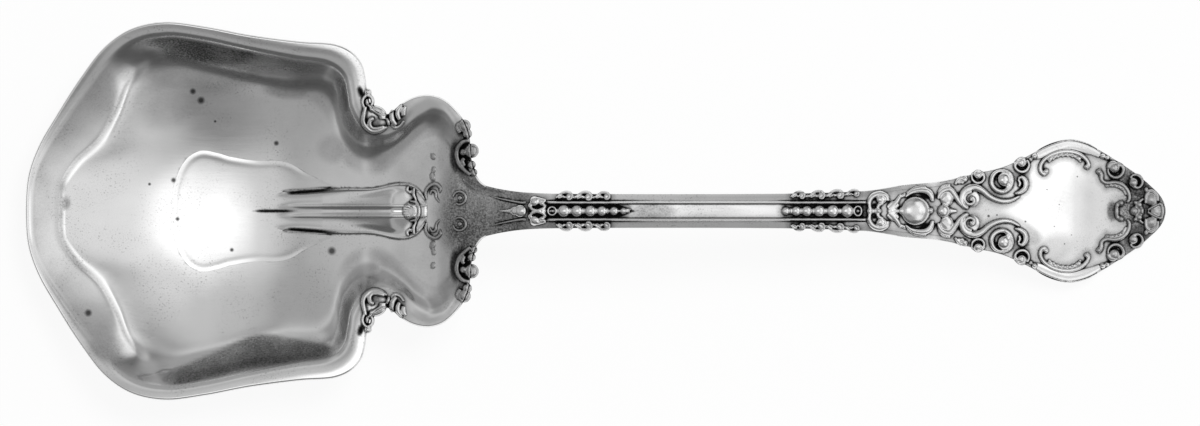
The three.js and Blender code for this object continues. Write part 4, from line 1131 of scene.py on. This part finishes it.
draw_pair(
    "large_roundel", "handle", curl(103, 6, 2.6, 1.5, -2.6, 1),
    bar(
        1.1, (103.2, 8.2, 0.2), (104.6, 7.6, 0.3), (105.1, 6.2, 0.34), (104.7, 4.7, 0.34),
        (103.6, 3.9, 0.3),
    ),
)
draw_pair("upper_roundel", "handle", curl(107.1, 9.3, 1.8, 1.25, -1.5, -1))
draw_pair(
    "comma_leaf", "handle",
    bar(
        1.05, (106.3, 6.5, 0.2), (107.1, 6.75, 0.34), (107.85, 5.9, 0.46), (107.7, 4.6, 0.46),
        (106.7, 3.8, 0.38), (105.6, 3.5, 0.18),
    ),
    bar(0.8, (106.3, 6.3, 0.2), (106.7, 5.6, 0.26), (106.5, 4.9, 0.2)),
)
moulding_x = [109.7, 111.2, 112.8, 114.6, 116.6, 118.6, 120.8, 123]
moulding = [(x, float(through(SHANK_EDGE + PLATE_EDGE, [x])[0]) - 0.9) for x in moulding_x]
draw_pair(
    "rim_moulding", "handle",
    bar(0.42, *[(x, y, 0.85 * w) for (x, y), w in zip(moulding, [0.6, 0.9, 1, 1, 1, 1, 0.95, 0.6])]),
    dome(109.7, moulding[0][1] + 0.1, 0.6, 0.9), dome(108.9, moulding[0][1] - 0.55, 0.42, 0.7),
    dome(123.6, moulding[-1][1] - 0.3, 0.6, 0.9), dome(124.5, moulding[-1][1] - 0.6, 0.5, 0.8),
)
pearls = [
    (112.7, 10), (113.5, 10.5), (114.4, 10.9), (115.4, 11.1), (116.4, 11.15), (117.4, 11), (118.3, 10.6),
    (119, 10),
]
draw_pair(
    "cartouche_scroll", "handle",
    bar(
        0.85, (112.3, 8.2, 0.3), (111.7, 7.4, 0.32), (111, 7.9, 0.32), (110.9, 9.1, 0.32),
        (111.7, 10.3, 0.32), (113.2, 11.3, 0.34), (115.2, 11.9, 0.36), (117.2, 11.9, 0.36),
        (119, 11.3, 0.34), (120.3, 10.2, 0.32), (120.8, 9.1, 0.3), (120.3, 8.4, 0.24),
    ),
    dome(112, 7.9, 0.62, 0.9), dome(120.3, 8.9, 0.55, 0.9), [dome(x, y, 0.36, 0.5) for x, y in pearls],
    bar(0.3, *[(x, y + 0.25, 0.3) for x, y in pearls]),
)
print("drawn so far:", len(drawings), "pieces")

# %% [markdown]
# ### Crest
# The end is a cluster of roundels with two lunettes, a knot, a flower and a palmette, worn darker than the
# rest.

# %% Draw the crest and the drop on the back of the neck
draw_pair(
    "crest_inner_roundel", "handle", curl(126.2, 8.3, 1.95, 1.25, -1.1, 1),
    bar(1.1, (124.7, 8.6, 0.3), (125, 9.4, 0.4), (125.9, 9.6, 0.4), (126.4, 8.9, 0.3)),
)
draw_pair("crest_outer_roundel", "handle", curl(130.2, 5.9, 1.7, 1.25, 0.3, -1))
draw_pair(
    "lunette", "handle",
    bar(
        0.85, (122.6, 8.3, 0.5), (123.3, 7.3, 0.42), (123.4, 6.2, 0.3), (124.4, 5.65, 0.34),
        (126.2, 5.75, 0.34), (127.7, 5.2, 0.34), (128.7, 4, 0.34), (129, 2.6, 0.32), (128.5, 1.7, 0.26),
    ),
    [dome(x, y, 0.3, 0.5) for x, y in ((124.4, 4.9), (125.2, 5.05), (126, 5), (126.8, 4.75), (127.5, 4.3))],
    bar(0.3, (124, 5.2, 0.3), (126, 5.2, 0.4), (127.6, 4.6, 0.4), (128.4, 3.2, 0.3)),
    dome(122.8, 7.9, 0.6, 0.9),
)
knobs = twice(dome(127.3, 1.6, 0.66, 0.95), bar(0.7, (126.4, 1.2, 0.4), (127.3, 1.6, 0.4)))
draw_one("crest_knot", "handle", dome(126.4, 0, 0.52, 0.85, 3.2), knobs)
flower_petals = twice(
    dome(130.9, 1.25, 0.72, 0.8), dome(130.2, 1.7, 0.5, 0.6),
    bar(0.6, (130.3, 0.8, 0.3), (131, 1.9, 0.26), (131.8, 2.5, 0.2)),
)
draw_one(
    "crest_flower", "handle", flower_petals, dome(129.9, 0, 0.95, 1.05),
    dome(131.5, 0, 0.45, 0.75, 2), bar(0.5, (129.9, 0, 0.6), (131.5, 0, 0.5)),
)
end_lobes = twice(
    dome(133.4, 2.5, 1.45, 0.8),
    bar(1, (132.2, 1.5, 0.2), (132.3, 3.2, 0.3), (133.3, 4, 0.34), (134.4, 3.2, 0.32), (134.6, 2, 0.26)),
    dome(132.3, 4.3, 0.5, 0.7), bar(0.5, (132.3, 4.3, 0.4), (132.9, 3.6, 0.4)),
    bar(0.85, (132.6, 0.2, 0.2), (134, 1, 0.24), (135.2, 1.5, 0.2)),
)
draw_one(
    "crest_palmette", "handle", end_lobes, dome(134.3, 0, 1.2, 0.55, 1.3),
    bar(0.8, (135.3, 1.5, 0.2), (135.6, 0, 0.28), (135.3, -1.5, 0.2)),
)
draw_one(
    "heel_drop", "below",
    wire(
        0.9, (-12, 0, 1.1), (-9, 0, 2.5), (-5, 0, 3), (-2.4, 0, 2.95), (0.6, 0, 2.9), (4, 0, 2.4),
        (8, 0, 1.3),
    ),
    wire(1.25, (-10, 0, 0.3), (-4, 0, 0.5), (3, 0, 0.4), (7, 0, 0.2)),
)
print("drawn in all:", len(drawings), "pieces")

# %% [markdown]
# ## Casting the relief
# Each scroll could be modelled by hand, but that is slow work and hard to change. Geometry Nodes cast them
# all by the same rule. Two trees are needed, one for casting and one for the black in the recesses, so the
# steps that both use are functions: reading and storing a value, the shape of another object, a height, and
# the same end.

# %% Steps that both trees share
def new_tree(name, inputs):
    """A Geometry Nodes tree with the named inputs, and the identifiers that a modifier needs."""
    tree = bpy.data.node_groups.new(name, "GeometryNodeTree")
    tree.interface.new_socket("Geometry", in_out="INPUT", socket_type="NodeSocketGeometry")
    tree.interface.new_socket("Geometry", in_out="OUTPUT", socket_type="NodeSocketGeometry")
    names = {}
    for label, kind, value in inputs:
        socket = tree.interface.new_socket(label, in_out="INPUT", socket_type=kind)
        if value is not None:
            socket.default_value = value
        names[label] = socket.identifier
    return tree, add(tree, "NodeGroupInput"), names


def named(tree, name, kind="FLOAT"):
    """An attribute that the mesh carries."""
    return result(tree, "GeometryNodeInputNamedAttribute", {"Name": name}, data_type=kind)


def stored(tree, geometry, name, value):
    """The geometry with a value stored on its points."""
    sockets = {"Geometry": geometry, "Name": name, "Value": value}
    return result(tree, "GeometryNodeStoreNamedAttribute", sockets, data_type="FLOAT", domain="POINT")


def shape_of(tree, item):
    """The geometry of another object."""
    held = add(tree, "GeometryNodeObjectInfo", {"Object": item}, transform_space="RELATIVE")
    return held.outputs["Geometry"]


def scaled(tree, value, factor):
    return result(tree, "ShaderNodeVectorMath", {0: value, "Scale": factor}, operation="SCALE")


def upwards(tree, height):
    return result(tree, "ShaderNodeCombineXYZ", {2: height})


def height_of(tree, place):
    return add(tree, "ShaderNodeSeparateXYZ", {0: place}).outputs[2]


def end_tree(tree, geometry, finish):
    """Every tree ends alike: instances made real, one finish, and the output."""
    single = result(tree, "GeometryNodeRealizeInstances", {"Geometry": geometry})
    finished = result(tree, "GeometryNodeSetMaterial", {"Geometry": single, "Material": finish})
    add(tree, "NodeGroupOutput", {0: finished})


print("steps:", [step.__name__ for step in (new_tree, named, stored, shape_of, end_tree)])

# %% [markdown]
# ### One tree for every drawing
# Wires become Catmull-Rom curves with a round section, domes are instances of one ball, and a distance grid
# melts both into one skin. The skin is sunk a little and laid on its carrier by rays. Where it overhangs
# the carrier's edge, the nearest point of the carrier gives the height.

# %% Node tree that casts a drawing and lays it on its carrier
RAY_START = 0.1  # metres from the table, well clear of the spoon
RAY_LENGTH = 0.3
cast, given, cast_inputs = new_tree("cast_relief", [
    ("Grid", "NodeSocketFloat", 0.1),
    ("Sink", "NodeSocketFloat", 0.3),
    ("Facing", "NodeSocketFloat", 1.0),
    ("Tarnish", "NodeSocketFloat", 0.05),
    ("Carrier", "NodeSocketObject", None),
    ("Finish", "NodeSocketMaterial", None),
])
position = result(cast, "GeometryNodeInputPosition")

# Wires become bars with round sections, and domes become balls
paths = result(cast, "GeometryNodeMeshToCurve", {"Mesh": given.outputs["Geometry"]})
bent = result(cast, "GeometryNodeCurveSplineType", {"Curve": paths}, spline_type="CATMULL_ROM")
finer = result(cast, "GeometryNodeSetSplineResolution", {"Geometry": bent, "Resolution": 6})
level = result(cast, "GeometryNodeSetCurveNormal", {"Curve": finer}, mode="Z_UP")
section = result(cast, "GeometryNodeCurvePrimitiveCircle", {"Resolution": 14, "Radius": 1.0})
bars = result(cast, "GeometryNodeCurveToMesh", {
    "Curve": level, "Profile Curve": section, "Scale": named(cast, "half_width"), "Fill Caps": True,
})
stand = result(cast, "ShaderNodeCombineXYZ", {0: 1.0, 1: 1.0, 2: named(cast, "tall")})
stretched = vector(cast, "MULTIPLY", position, stand)
wires = result(cast, "GeometryNodeSetPosition", {"Geometry": bars, "Position": stretched})
ball = result(cast, "GeometryNodeMeshUVSphere", {"Segments": 28, "Rings": 14, "Radius": 1.0})
domes = result(cast, "GeometryNodeInstanceOnPoints", {
    "Points": given.outputs["Geometry"], "Selection": named(cast, "is_dome", "BOOLEAN"), "Instance": ball,
    "Rotation": named(cast, "turn", "FLOAT_VECTOR"), "Scale": named(cast, "size", "FLOAT_VECTOR"),
})
whole_domes = result(cast, "GeometryNodeRealizeInstances", {"Geometry": domes})
joined = add(cast, "GeometryNodeJoinGeometry", {0: wires})
cast.links.new(whole_domes, joined.inputs[0])

# All of it melts into one skin
melted = result(cast, "GeometryNodeMeshToSDFGrid", {
    "Mesh": joined.outputs[0], "Voxel Size": given.outputs["Grid"], "Band Width": 3,
})
skin = result(cast, "GeometryNodeGridToMesh", {"Grid": melted, "Threshold": 0.0, "Adaptivity": 0.0})
worn = result(
    cast, "GeometryNodeBlurAttribute", {"Value": position, "Iterations": 2}, data_type="FLOAT_VECTOR",
)
softened = result(cast, "GeometryNodeSetPosition", {"Geometry": skin, "Position": worn})

# A ray finds the carrier under each point. Past the carrier's edge, its nearest place counts.
facing = given.outputs["Facing"]
carrier_shape = shape_of(cast, given.outputs["Carrier"])
plan = vector(cast, "MULTIPLY", scaled(cast, position, MM), (1, 1, 0))
above = upwards(cast, calc(cast, "MULTIPLY", facing, RAY_START))
hit = add(cast, "GeometryNodeRaycast", {
    "Target Geometry": carrier_shape, "Source Position": vector(cast, "ADD", plan, above),
    "Ray Direction": upwards(cast, calc(cast, "MULTIPLY", facing, -1.0)), "Ray Length": RAY_LENGTH,
})
hit_height = height_of(cast, hit.outputs["Hit Position"])
typical = add(cast, "GeometryNodeAttributeStatistic", {
    "Geometry": softened, "Selection": hit.outputs["Is Hit"], "Attribute": hit_height,
}, data_type="FLOAT", domain="POINT")
beside_it = vector(cast, "ADD", plan, upwards(cast, typical.outputs["Mean"]))
near = add(cast, "GeometryNodeProximity", {
    0: carrier_shape, "Source Position": beside_it,
}, target_element="FACES")
seat = result(cast, "GeometryNodeSwitch", {
    "Switch": hit.outputs["Is Hit"], "False": height_of(cast, near.outputs["Position"]), "True": hit_height,
}, input_type="FLOAT")

# The skin's own height counts from there, and its underside sinks into the carrier
own_height = calc(cast, "MULTIPLY", height_of(cast, position), facing)
lowest = calc(cast, "MULTIPLY", given.outputs["Sink"], -1.0)
rise = calc(cast, "MULTIPLY", calc(cast, "MAXIMUM", own_height, lowest), facing)
final_height = calc(cast, "MULTIPLY_ADD", rise, MM, seat)
laid_at = vector(cast, "ADD", plan, upwards(cast, final_height))
stained_skin = stored(cast, softened, "stain", given.outputs["Tarnish"])
laid = result(cast, "GeometryNodeSetPosition", {"Geometry": stained_skin, "Position": laid_at})
end_tree(cast, result(cast, "GeometryNodeSetShadeSmooth", {0: laid}), given.outputs["Finish"])
print("casting tree:", len(cast.nodes), "nodes")

# %% [markdown]
# A drawing goes into the tree as a mesh without faces: a chain of edges for each wire and a lone point for
# each dome, with their sizes as attributes. The result is made a plain mesh, so nothing depends on the tree
# later.

# %% Cast every drawing
def drawing_mesh(name, marks):
    """Points with half width, height factor, dome or not, size and turn, and the edges of the wires."""
    rows, edges = [], []
    for kind, numbers in marks:
        if kind == "wire":
            start_at = len(rows)
            rows += [((x + SEAM, y, 0), w, t, False, (0, 0, 0), (0, 0, 0)) for x, y, w, t in numbers]
            edges += [(k, k + 1) for k in range(start_at, len(rows) - 1)]
        else:
            x, y, rx, ry, high, angle = numbers
            rows.append(((x + SEAM, y, 0), 0, 1, True, (rx, ry, high), (0, 0, angle)))
    points, half_widths, talls, dome_flags, sizes, turns = zip(*rows)
    mesh = bpy.data.meshes.new(name)
    mesh.from_pydata(points, edges, [])
    mesh.attributes.new("half_width", "FLOAT", "POINT").data.foreach_set("value", half_widths)
    mesh.attributes.new("tall", "FLOAT", "POINT").data.foreach_set("value", talls)
    mesh.attributes.new("is_dome", "BOOLEAN", "POINT").data.foreach_set("value", dome_flags)
    for key, values in (("size", sizes), ("turn", turns)):
        layer = mesh.attributes.new(key, "FLOAT_VECTOR", "POINT")
        layer.data.foreach_set("vector", np.array(values, "f").ravel())
    return mesh


def settled(piece, finish):
    """Makes what the modifiers give the piece's own mesh in one finish, and removes them."""
    bpy.context.view_layer.update()
    evaluated = piece.evaluated_get(bpy.context.evaluated_depsgraph_get())
    mesh = bpy.data.meshes.new_from_object(evaluated)
    piece.modifiers.clear()
    old, piece.data = piece.data, mesh
    name = old.name
    bpy.data.meshes.remove(old)
    mesh.name = name
    mesh.materials.clear()
    mesh.materials.append(finish)
    mesh.polygons.foreach_set("material_index", [0] * len(mesh.polygons))
    return piece


def joined_ground(name, *pieces):
    points, faces = [], []
    for piece in pieces:
        start_at = len(points)
        points += [v.co[:] for v in piece.data.vertices]
        faces += [[start_at + k for k in face.vertices] for face in piece.data.polygons]
    mesh = bpy.data.meshes.new(name)
    mesh.from_pydata(points, [], faces)
    return placed(name, mesh)


# The neck is one ground for what lies across the seam
heel_ground = joined_ground("heel_ground", bowl, handle, tongue)
carriers = {"bowl": bowl, "handle": heel_ground, "tongue": heel_ground, "below": heel_ground}
# How grey each part of the relief has turned
TARNISH = {
    "heel": 0.5, "neck": 0.4, "tongue": 0.0, "crest": 0.4, "lunette": 0.4, "shoulder": 0.55, "notch": 0.15,
}
BACK_GRID = 0.2  # the back of the neck is plain, so its skin is coarser
relief = {}
for node, (carrier, marks) in drawings.items():
    piece = placed("relief_" + node, drawing_mesh("relief_" + node, marks))
    modifier = piece.modifiers.new("cast", "NODES")
    modifier.node_group = cast
    modifier[cast_inputs["Carrier"]] = carriers[carrier]
    finish = handle_silver if node == "heel_drop" else relief_silver
    modifier[cast_inputs["Finish"]] = finish
    for area, amount in TARNISH.items():
        if node.startswith(area):
            modifier[cast_inputs["Tarnish"]] = amount
    if carrier == "below":
        modifier[cast_inputs["Facing"]] = -1.0
        modifier[cast_inputs["Grid"]] = BACK_GRID
    relief[node] = settled(piece, finish)
print("relief:", sum(len(p.data.polygons) for p in relief.values()), "faces in", len(relief), "pieces")

# %% [markdown]
# ## Black in the recesses
# A polishing cloth rubs what it can touch, so the black stays in corners, slots and the ground between
# scrolls. It could be found with a shader, but the exported model would lose it. So a second tree sends
# short rays from every point up and outwards, like the cloth's way in. The share that is blocked nearby is
# stored as `recess`.

# %% Node tree that finds the recesses
hollows, given, hollow_inputs = new_tree("find_recesses", [
    ("Reach", "NodeSocketFloat", 2.0 * MM),
    ("Least", "NodeSocketFloat", 0.18),
    ("Most", "NodeSocketFloat", 0.52),
    ("Grime", "NodeSocketFloat", 0.0),
    ("Grime Reach", "NodeSocketFloat", 1.2 * MM),
    ("Relief", "NodeSocketObject", None),
    ("Spoon", "NodeSocketObject", None),
    ("Finish", "NodeSocketMaterial", None),
])
# Elevation and azimuth of each ray in degrees
RAYS = [(25, k * 36) for k in range(10)] + [(52, k * 60 + 18) for k in range(6)]
LIFT = 0.03 * MM  # keeps a ray from meeting the face that it starts on
FAR_SHARE = 0.25  # what a ray counts that is blocked at the end of its reach

whole_shape = shape_of(hollows, given.outputs["Spoon"])
facing = result(hollows, "GeometryNodeInputNormal")
here = result(hollows, "GeometryNodeInputPosition")
from_here = vector(hollows, "ADD", here, scaled(hollows, facing, LIFT))
reach = given.outputs["Reach"]
blocked = 0.0
for elevation, azimuth in RAYS:
    up, round_about = math.radians(elevation), math.radians(azimuth)
    ray_way = (math.cos(up) * math.cos(round_about), math.cos(up) * math.sin(round_about), math.sin(up))
    ray = add(hollows, "GeometryNodeRaycast", {
        "Target Geometry": whole_shape, "Source Position": from_here, "Ray Direction": ray_way,
        "Ray Length": reach,
    })
    nearer = ranged(hollows, ray.outputs["Hit Distance"], 0.0, reach, 1 / len(RAYS), FAR_SHARE / len(RAYS))
    blocked = calc(hollows, "MULTIPLY_ADD", ray.outputs["Is Hit"], nearer, blocked)
depth = ranged(hollows, blocked, given.outputs["Least"], given.outputs["Most"], 0.0, 1.0)
on_top_side = ranged(hollows, height_of(hollows, facing), -0.1, 0.2, 0.0, 1.0)
found = calc(hollows, "MULTIPLY", depth, on_top_side)
darker = calc(hollows, "MAXIMUM", found, named(hollows, "recess"))
even_out = result(
    hollows, "GeometryNodeBlurAttribute", {"Value": darker, "Iterations": 1}, data_type="FLOAT",
)
kept = stored(hollows, given.outputs["Geometry"], "recess", even_out)

# Grime where the cloth rides over the ground close to the relief, and painted shade there beside it
all_relief = shape_of(hollows, given.outputs["Relief"])
to_relief = add(hollows, "GeometryNodeProximity", {0: all_relief}, target_element="FACES")
how_far = to_relief.outputs["Distance"]
grime_and_shade = ranged(hollows, how_far, 0.0, given.outputs["Grime Reach"], given.outputs["Grime"], 0.0)
grime_and_shade_on_top = calc(hollows, "MULTIPLY", grime_and_shade, on_top_side)
all_stain_and_shade = calc(hollows, "MAXIMUM", grime_and_shade_on_top, named(hollows, "stain"))
end_tree(hollows, stored(hollows, kept, "stain", all_stain_and_shade), given.outputs["Finish"])
print("tree for the recesses:", len(hollows.nodes), "nodes")

# %% [markdown]
# The rays have to meet every piece, so their target is one joined copy of the whole spoon. It could be a
# boolean union, but rays need no clean solid. The copies are removed afterwards.

# %% Blacken the recesses of every piece
pieces = {"bowl": bowl, "bowl_tongue": tongue, "handle": handle, **relief}
whole = joined_ground("whole_spoon", *pieces.values())
ornament = joined_ground("all_relief", *[piece for node, piece in relief.items() if node != "heel_drop"])
# How dark the ground near the relief turns, for grime and painted shade
GRIME_AND_SHADE = {"bowl": 0.3, "handle": 0.55}
for node, piece in pieces.items():
    modifier = piece.modifiers.new("recesses", "NODES")
    modifier.node_group = hollows
    modifier[hollow_inputs["Spoon"]] = whole
    modifier[hollow_inputs["Relief"]] = ornament
    modifier[hollow_inputs["Grime"]] = GRIME_AND_SHADE.get(node, 0.0)
    if node in relief:
        modifier[hollow_inputs["Least"]] = 0.15
        modifier[hollow_inputs["Most"]] = 0.46
    finish = piece.data.materials[0]
    modifier[hollow_inputs["Finish"]] = finish
    settled(piece, finish)
for helper in (heel_ground, whole, ornament):
    bpy.data.meshes.remove(helper.data)
print("recesses found on", len(pieces), "pieces with", len(RAYS), "rays from each point")

# %% [markdown]
# ## Putting the pieces in the frame
# Nothing on the spoon moves, so every piece rides on the one body and stands for the solid of its name.

# %% Ride and replace
for node, piece in pieces.items():
    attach(piece, "root")
    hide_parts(node)
print("pieces:", len(pieces), "with", sum(len(piece.data.polygons) for piece in pieces.values()), "faces")

# %% [markdown]
# ## Floor and light
# The spoon lies on plain white. Silver shows what is around it, so the room matters more than the lamps:
# bright overhead and towards the handle, grey at the sides, darker past the bowl and on the near side.

# %% Floor
floor_mesh = bpy.data.meshes.new("floor")
floor_mesh.from_pydata([(-3, -3, 0), (3, -3, 0), (3, 3, 0), (-3, 3, 0)], [], [(0, 1, 2, 3)])
floor = placed("floor", floor_mesh)
floor.location.z = -0.05 * MM
paper = bpy.data.materials.new("white_paper")
paper.use_nodes = True
tree = paper.node_tree
tree.nodes.clear()
rays = add(tree, "ShaderNodeLightPath")
seen = calc(tree, "MAXIMUM", rays.outputs["Is Camera Ray"], rays.outputs["Is Glossy Ray"])
matt = result(tree, "ShaderNodeBsdfDiffuse", {"Color": linear("#F2F2F2")})
glow = result(tree, "ShaderNodeEmission", {"Color": linear("#FFFFFF"), "Strength": 1.0})
white = result(tree, "ShaderNodeMixShader", {0: 0.9, 1: matt, 2: glow})
shown_floor = result(tree, "ShaderNodeMixShader", {0: seen, 1: matt, 2: white})
add(tree, "ShaderNodeOutputMaterial", {"Surface": shown_floor})
floor_mesh.materials.append(paper)
print("floor:", floor.name)

# %% [markdown]
# The room could be a picture of a real one. A world shader is chosen instead, with dark walls, a paler
# ceiling and soft panels for lamp and windows, because each reflection in the silver can then be placed by
# an angle.

# %% Room
world = bpy.data.worlds.new("room")
bpy.context.scene.world = world
world.use_nodes = True
tree = world.node_tree
tree.nodes.clear()
way = add(tree, "ShaderNodeTexCoord").outputs["Generated"]
# Each panel has its direction, the angle up to which it is full, the angle where it is gone, and its
# strength
PANELS = [
    ((0, 0.02, 1), 4, 18, 0.75),  # lamp overhead
    ((0.47, 0, 1), 12, 30, 0.44),
    ((1, 0.1, 0.6), 7, 19, 0.9),  # window towards the handle
    ((0.8, 0.6, 0.62), 8, 20, 0.9),
    ((0.8, -0.55, 0.62), 8, 20, 0.9),
    ((1, 0, 0.15), 10, 40, 0.25),
    ((-0.3, 0, 1), 3, 19, 0.33),
    ((-0.9, 0, 0.7), 8, 24, 0.14),
    ((-1, 0, 0.25), 15, 40, 0.1),
    ((0, 0.38, 1), 5, 24, 0.2),  # pale far side
    ((0, -0.3, 1), 5, 22, -0.12),
    ((-0.1, 1, 0.4), 15, 36, 0.25),
    ((-0.7, 0.6, 0.4), 12, 30, 0.2),
]
# The walls are dark low down and paler towards the ceiling
light = ranged(tree, height_of(tree, way), 0.48, 0.64, 0.12, 0.37, interpolation_type="SMOOTHSTEP")
for towards, inner, outer, strength in PANELS:
    middle_way = tuple(np.array(towards, float) / np.linalg.norm(towards))
    facing = add(tree, "ShaderNodeVectorMath", {0: way, 1: middle_way}, operation="DOT_PRODUCT")
    full, gone = math.cos(math.radians(inner)), math.cos(math.radians(outer))
    panel = ranged(
        tree, facing.outputs["Value"], gone, full, 0.0, strength, interpolation_type="SMOOTHSTEP",
    )
    light = calc(tree, "ADD", light, panel)
behind = add(tree, "ShaderNodeLightPath").outputs["Is Camera Ray"]
shown_light = result(tree, "ShaderNodeMix", {0: behind, 2: light, 3: 1.0}, data_type="FLOAT")
sky = result(tree, "ShaderNodeBackground", {"Color": linear("#FFFFFF"), "Strength": shown_light})
add(tree, "ShaderNodeOutputWorld", {"Surface": sky})

lamp = bpy.data.lights.new("key_lamp", "AREA")
lamp.shape = "DISK"
lamp.size = 0.6
lamp.energy = 9
lamp_object = placed("key_lamp", lamp)
lamp_object.location = (0.35, 0.5, 1.2)
lamp_object.rotation_euler = (-lamp_object.location).to_track_quat("-Z", "Y").to_euler()
lamp_object.visible_glossy = False  # its own reflection would be a hard spot on metal
print("room panels:", len(PANELS))
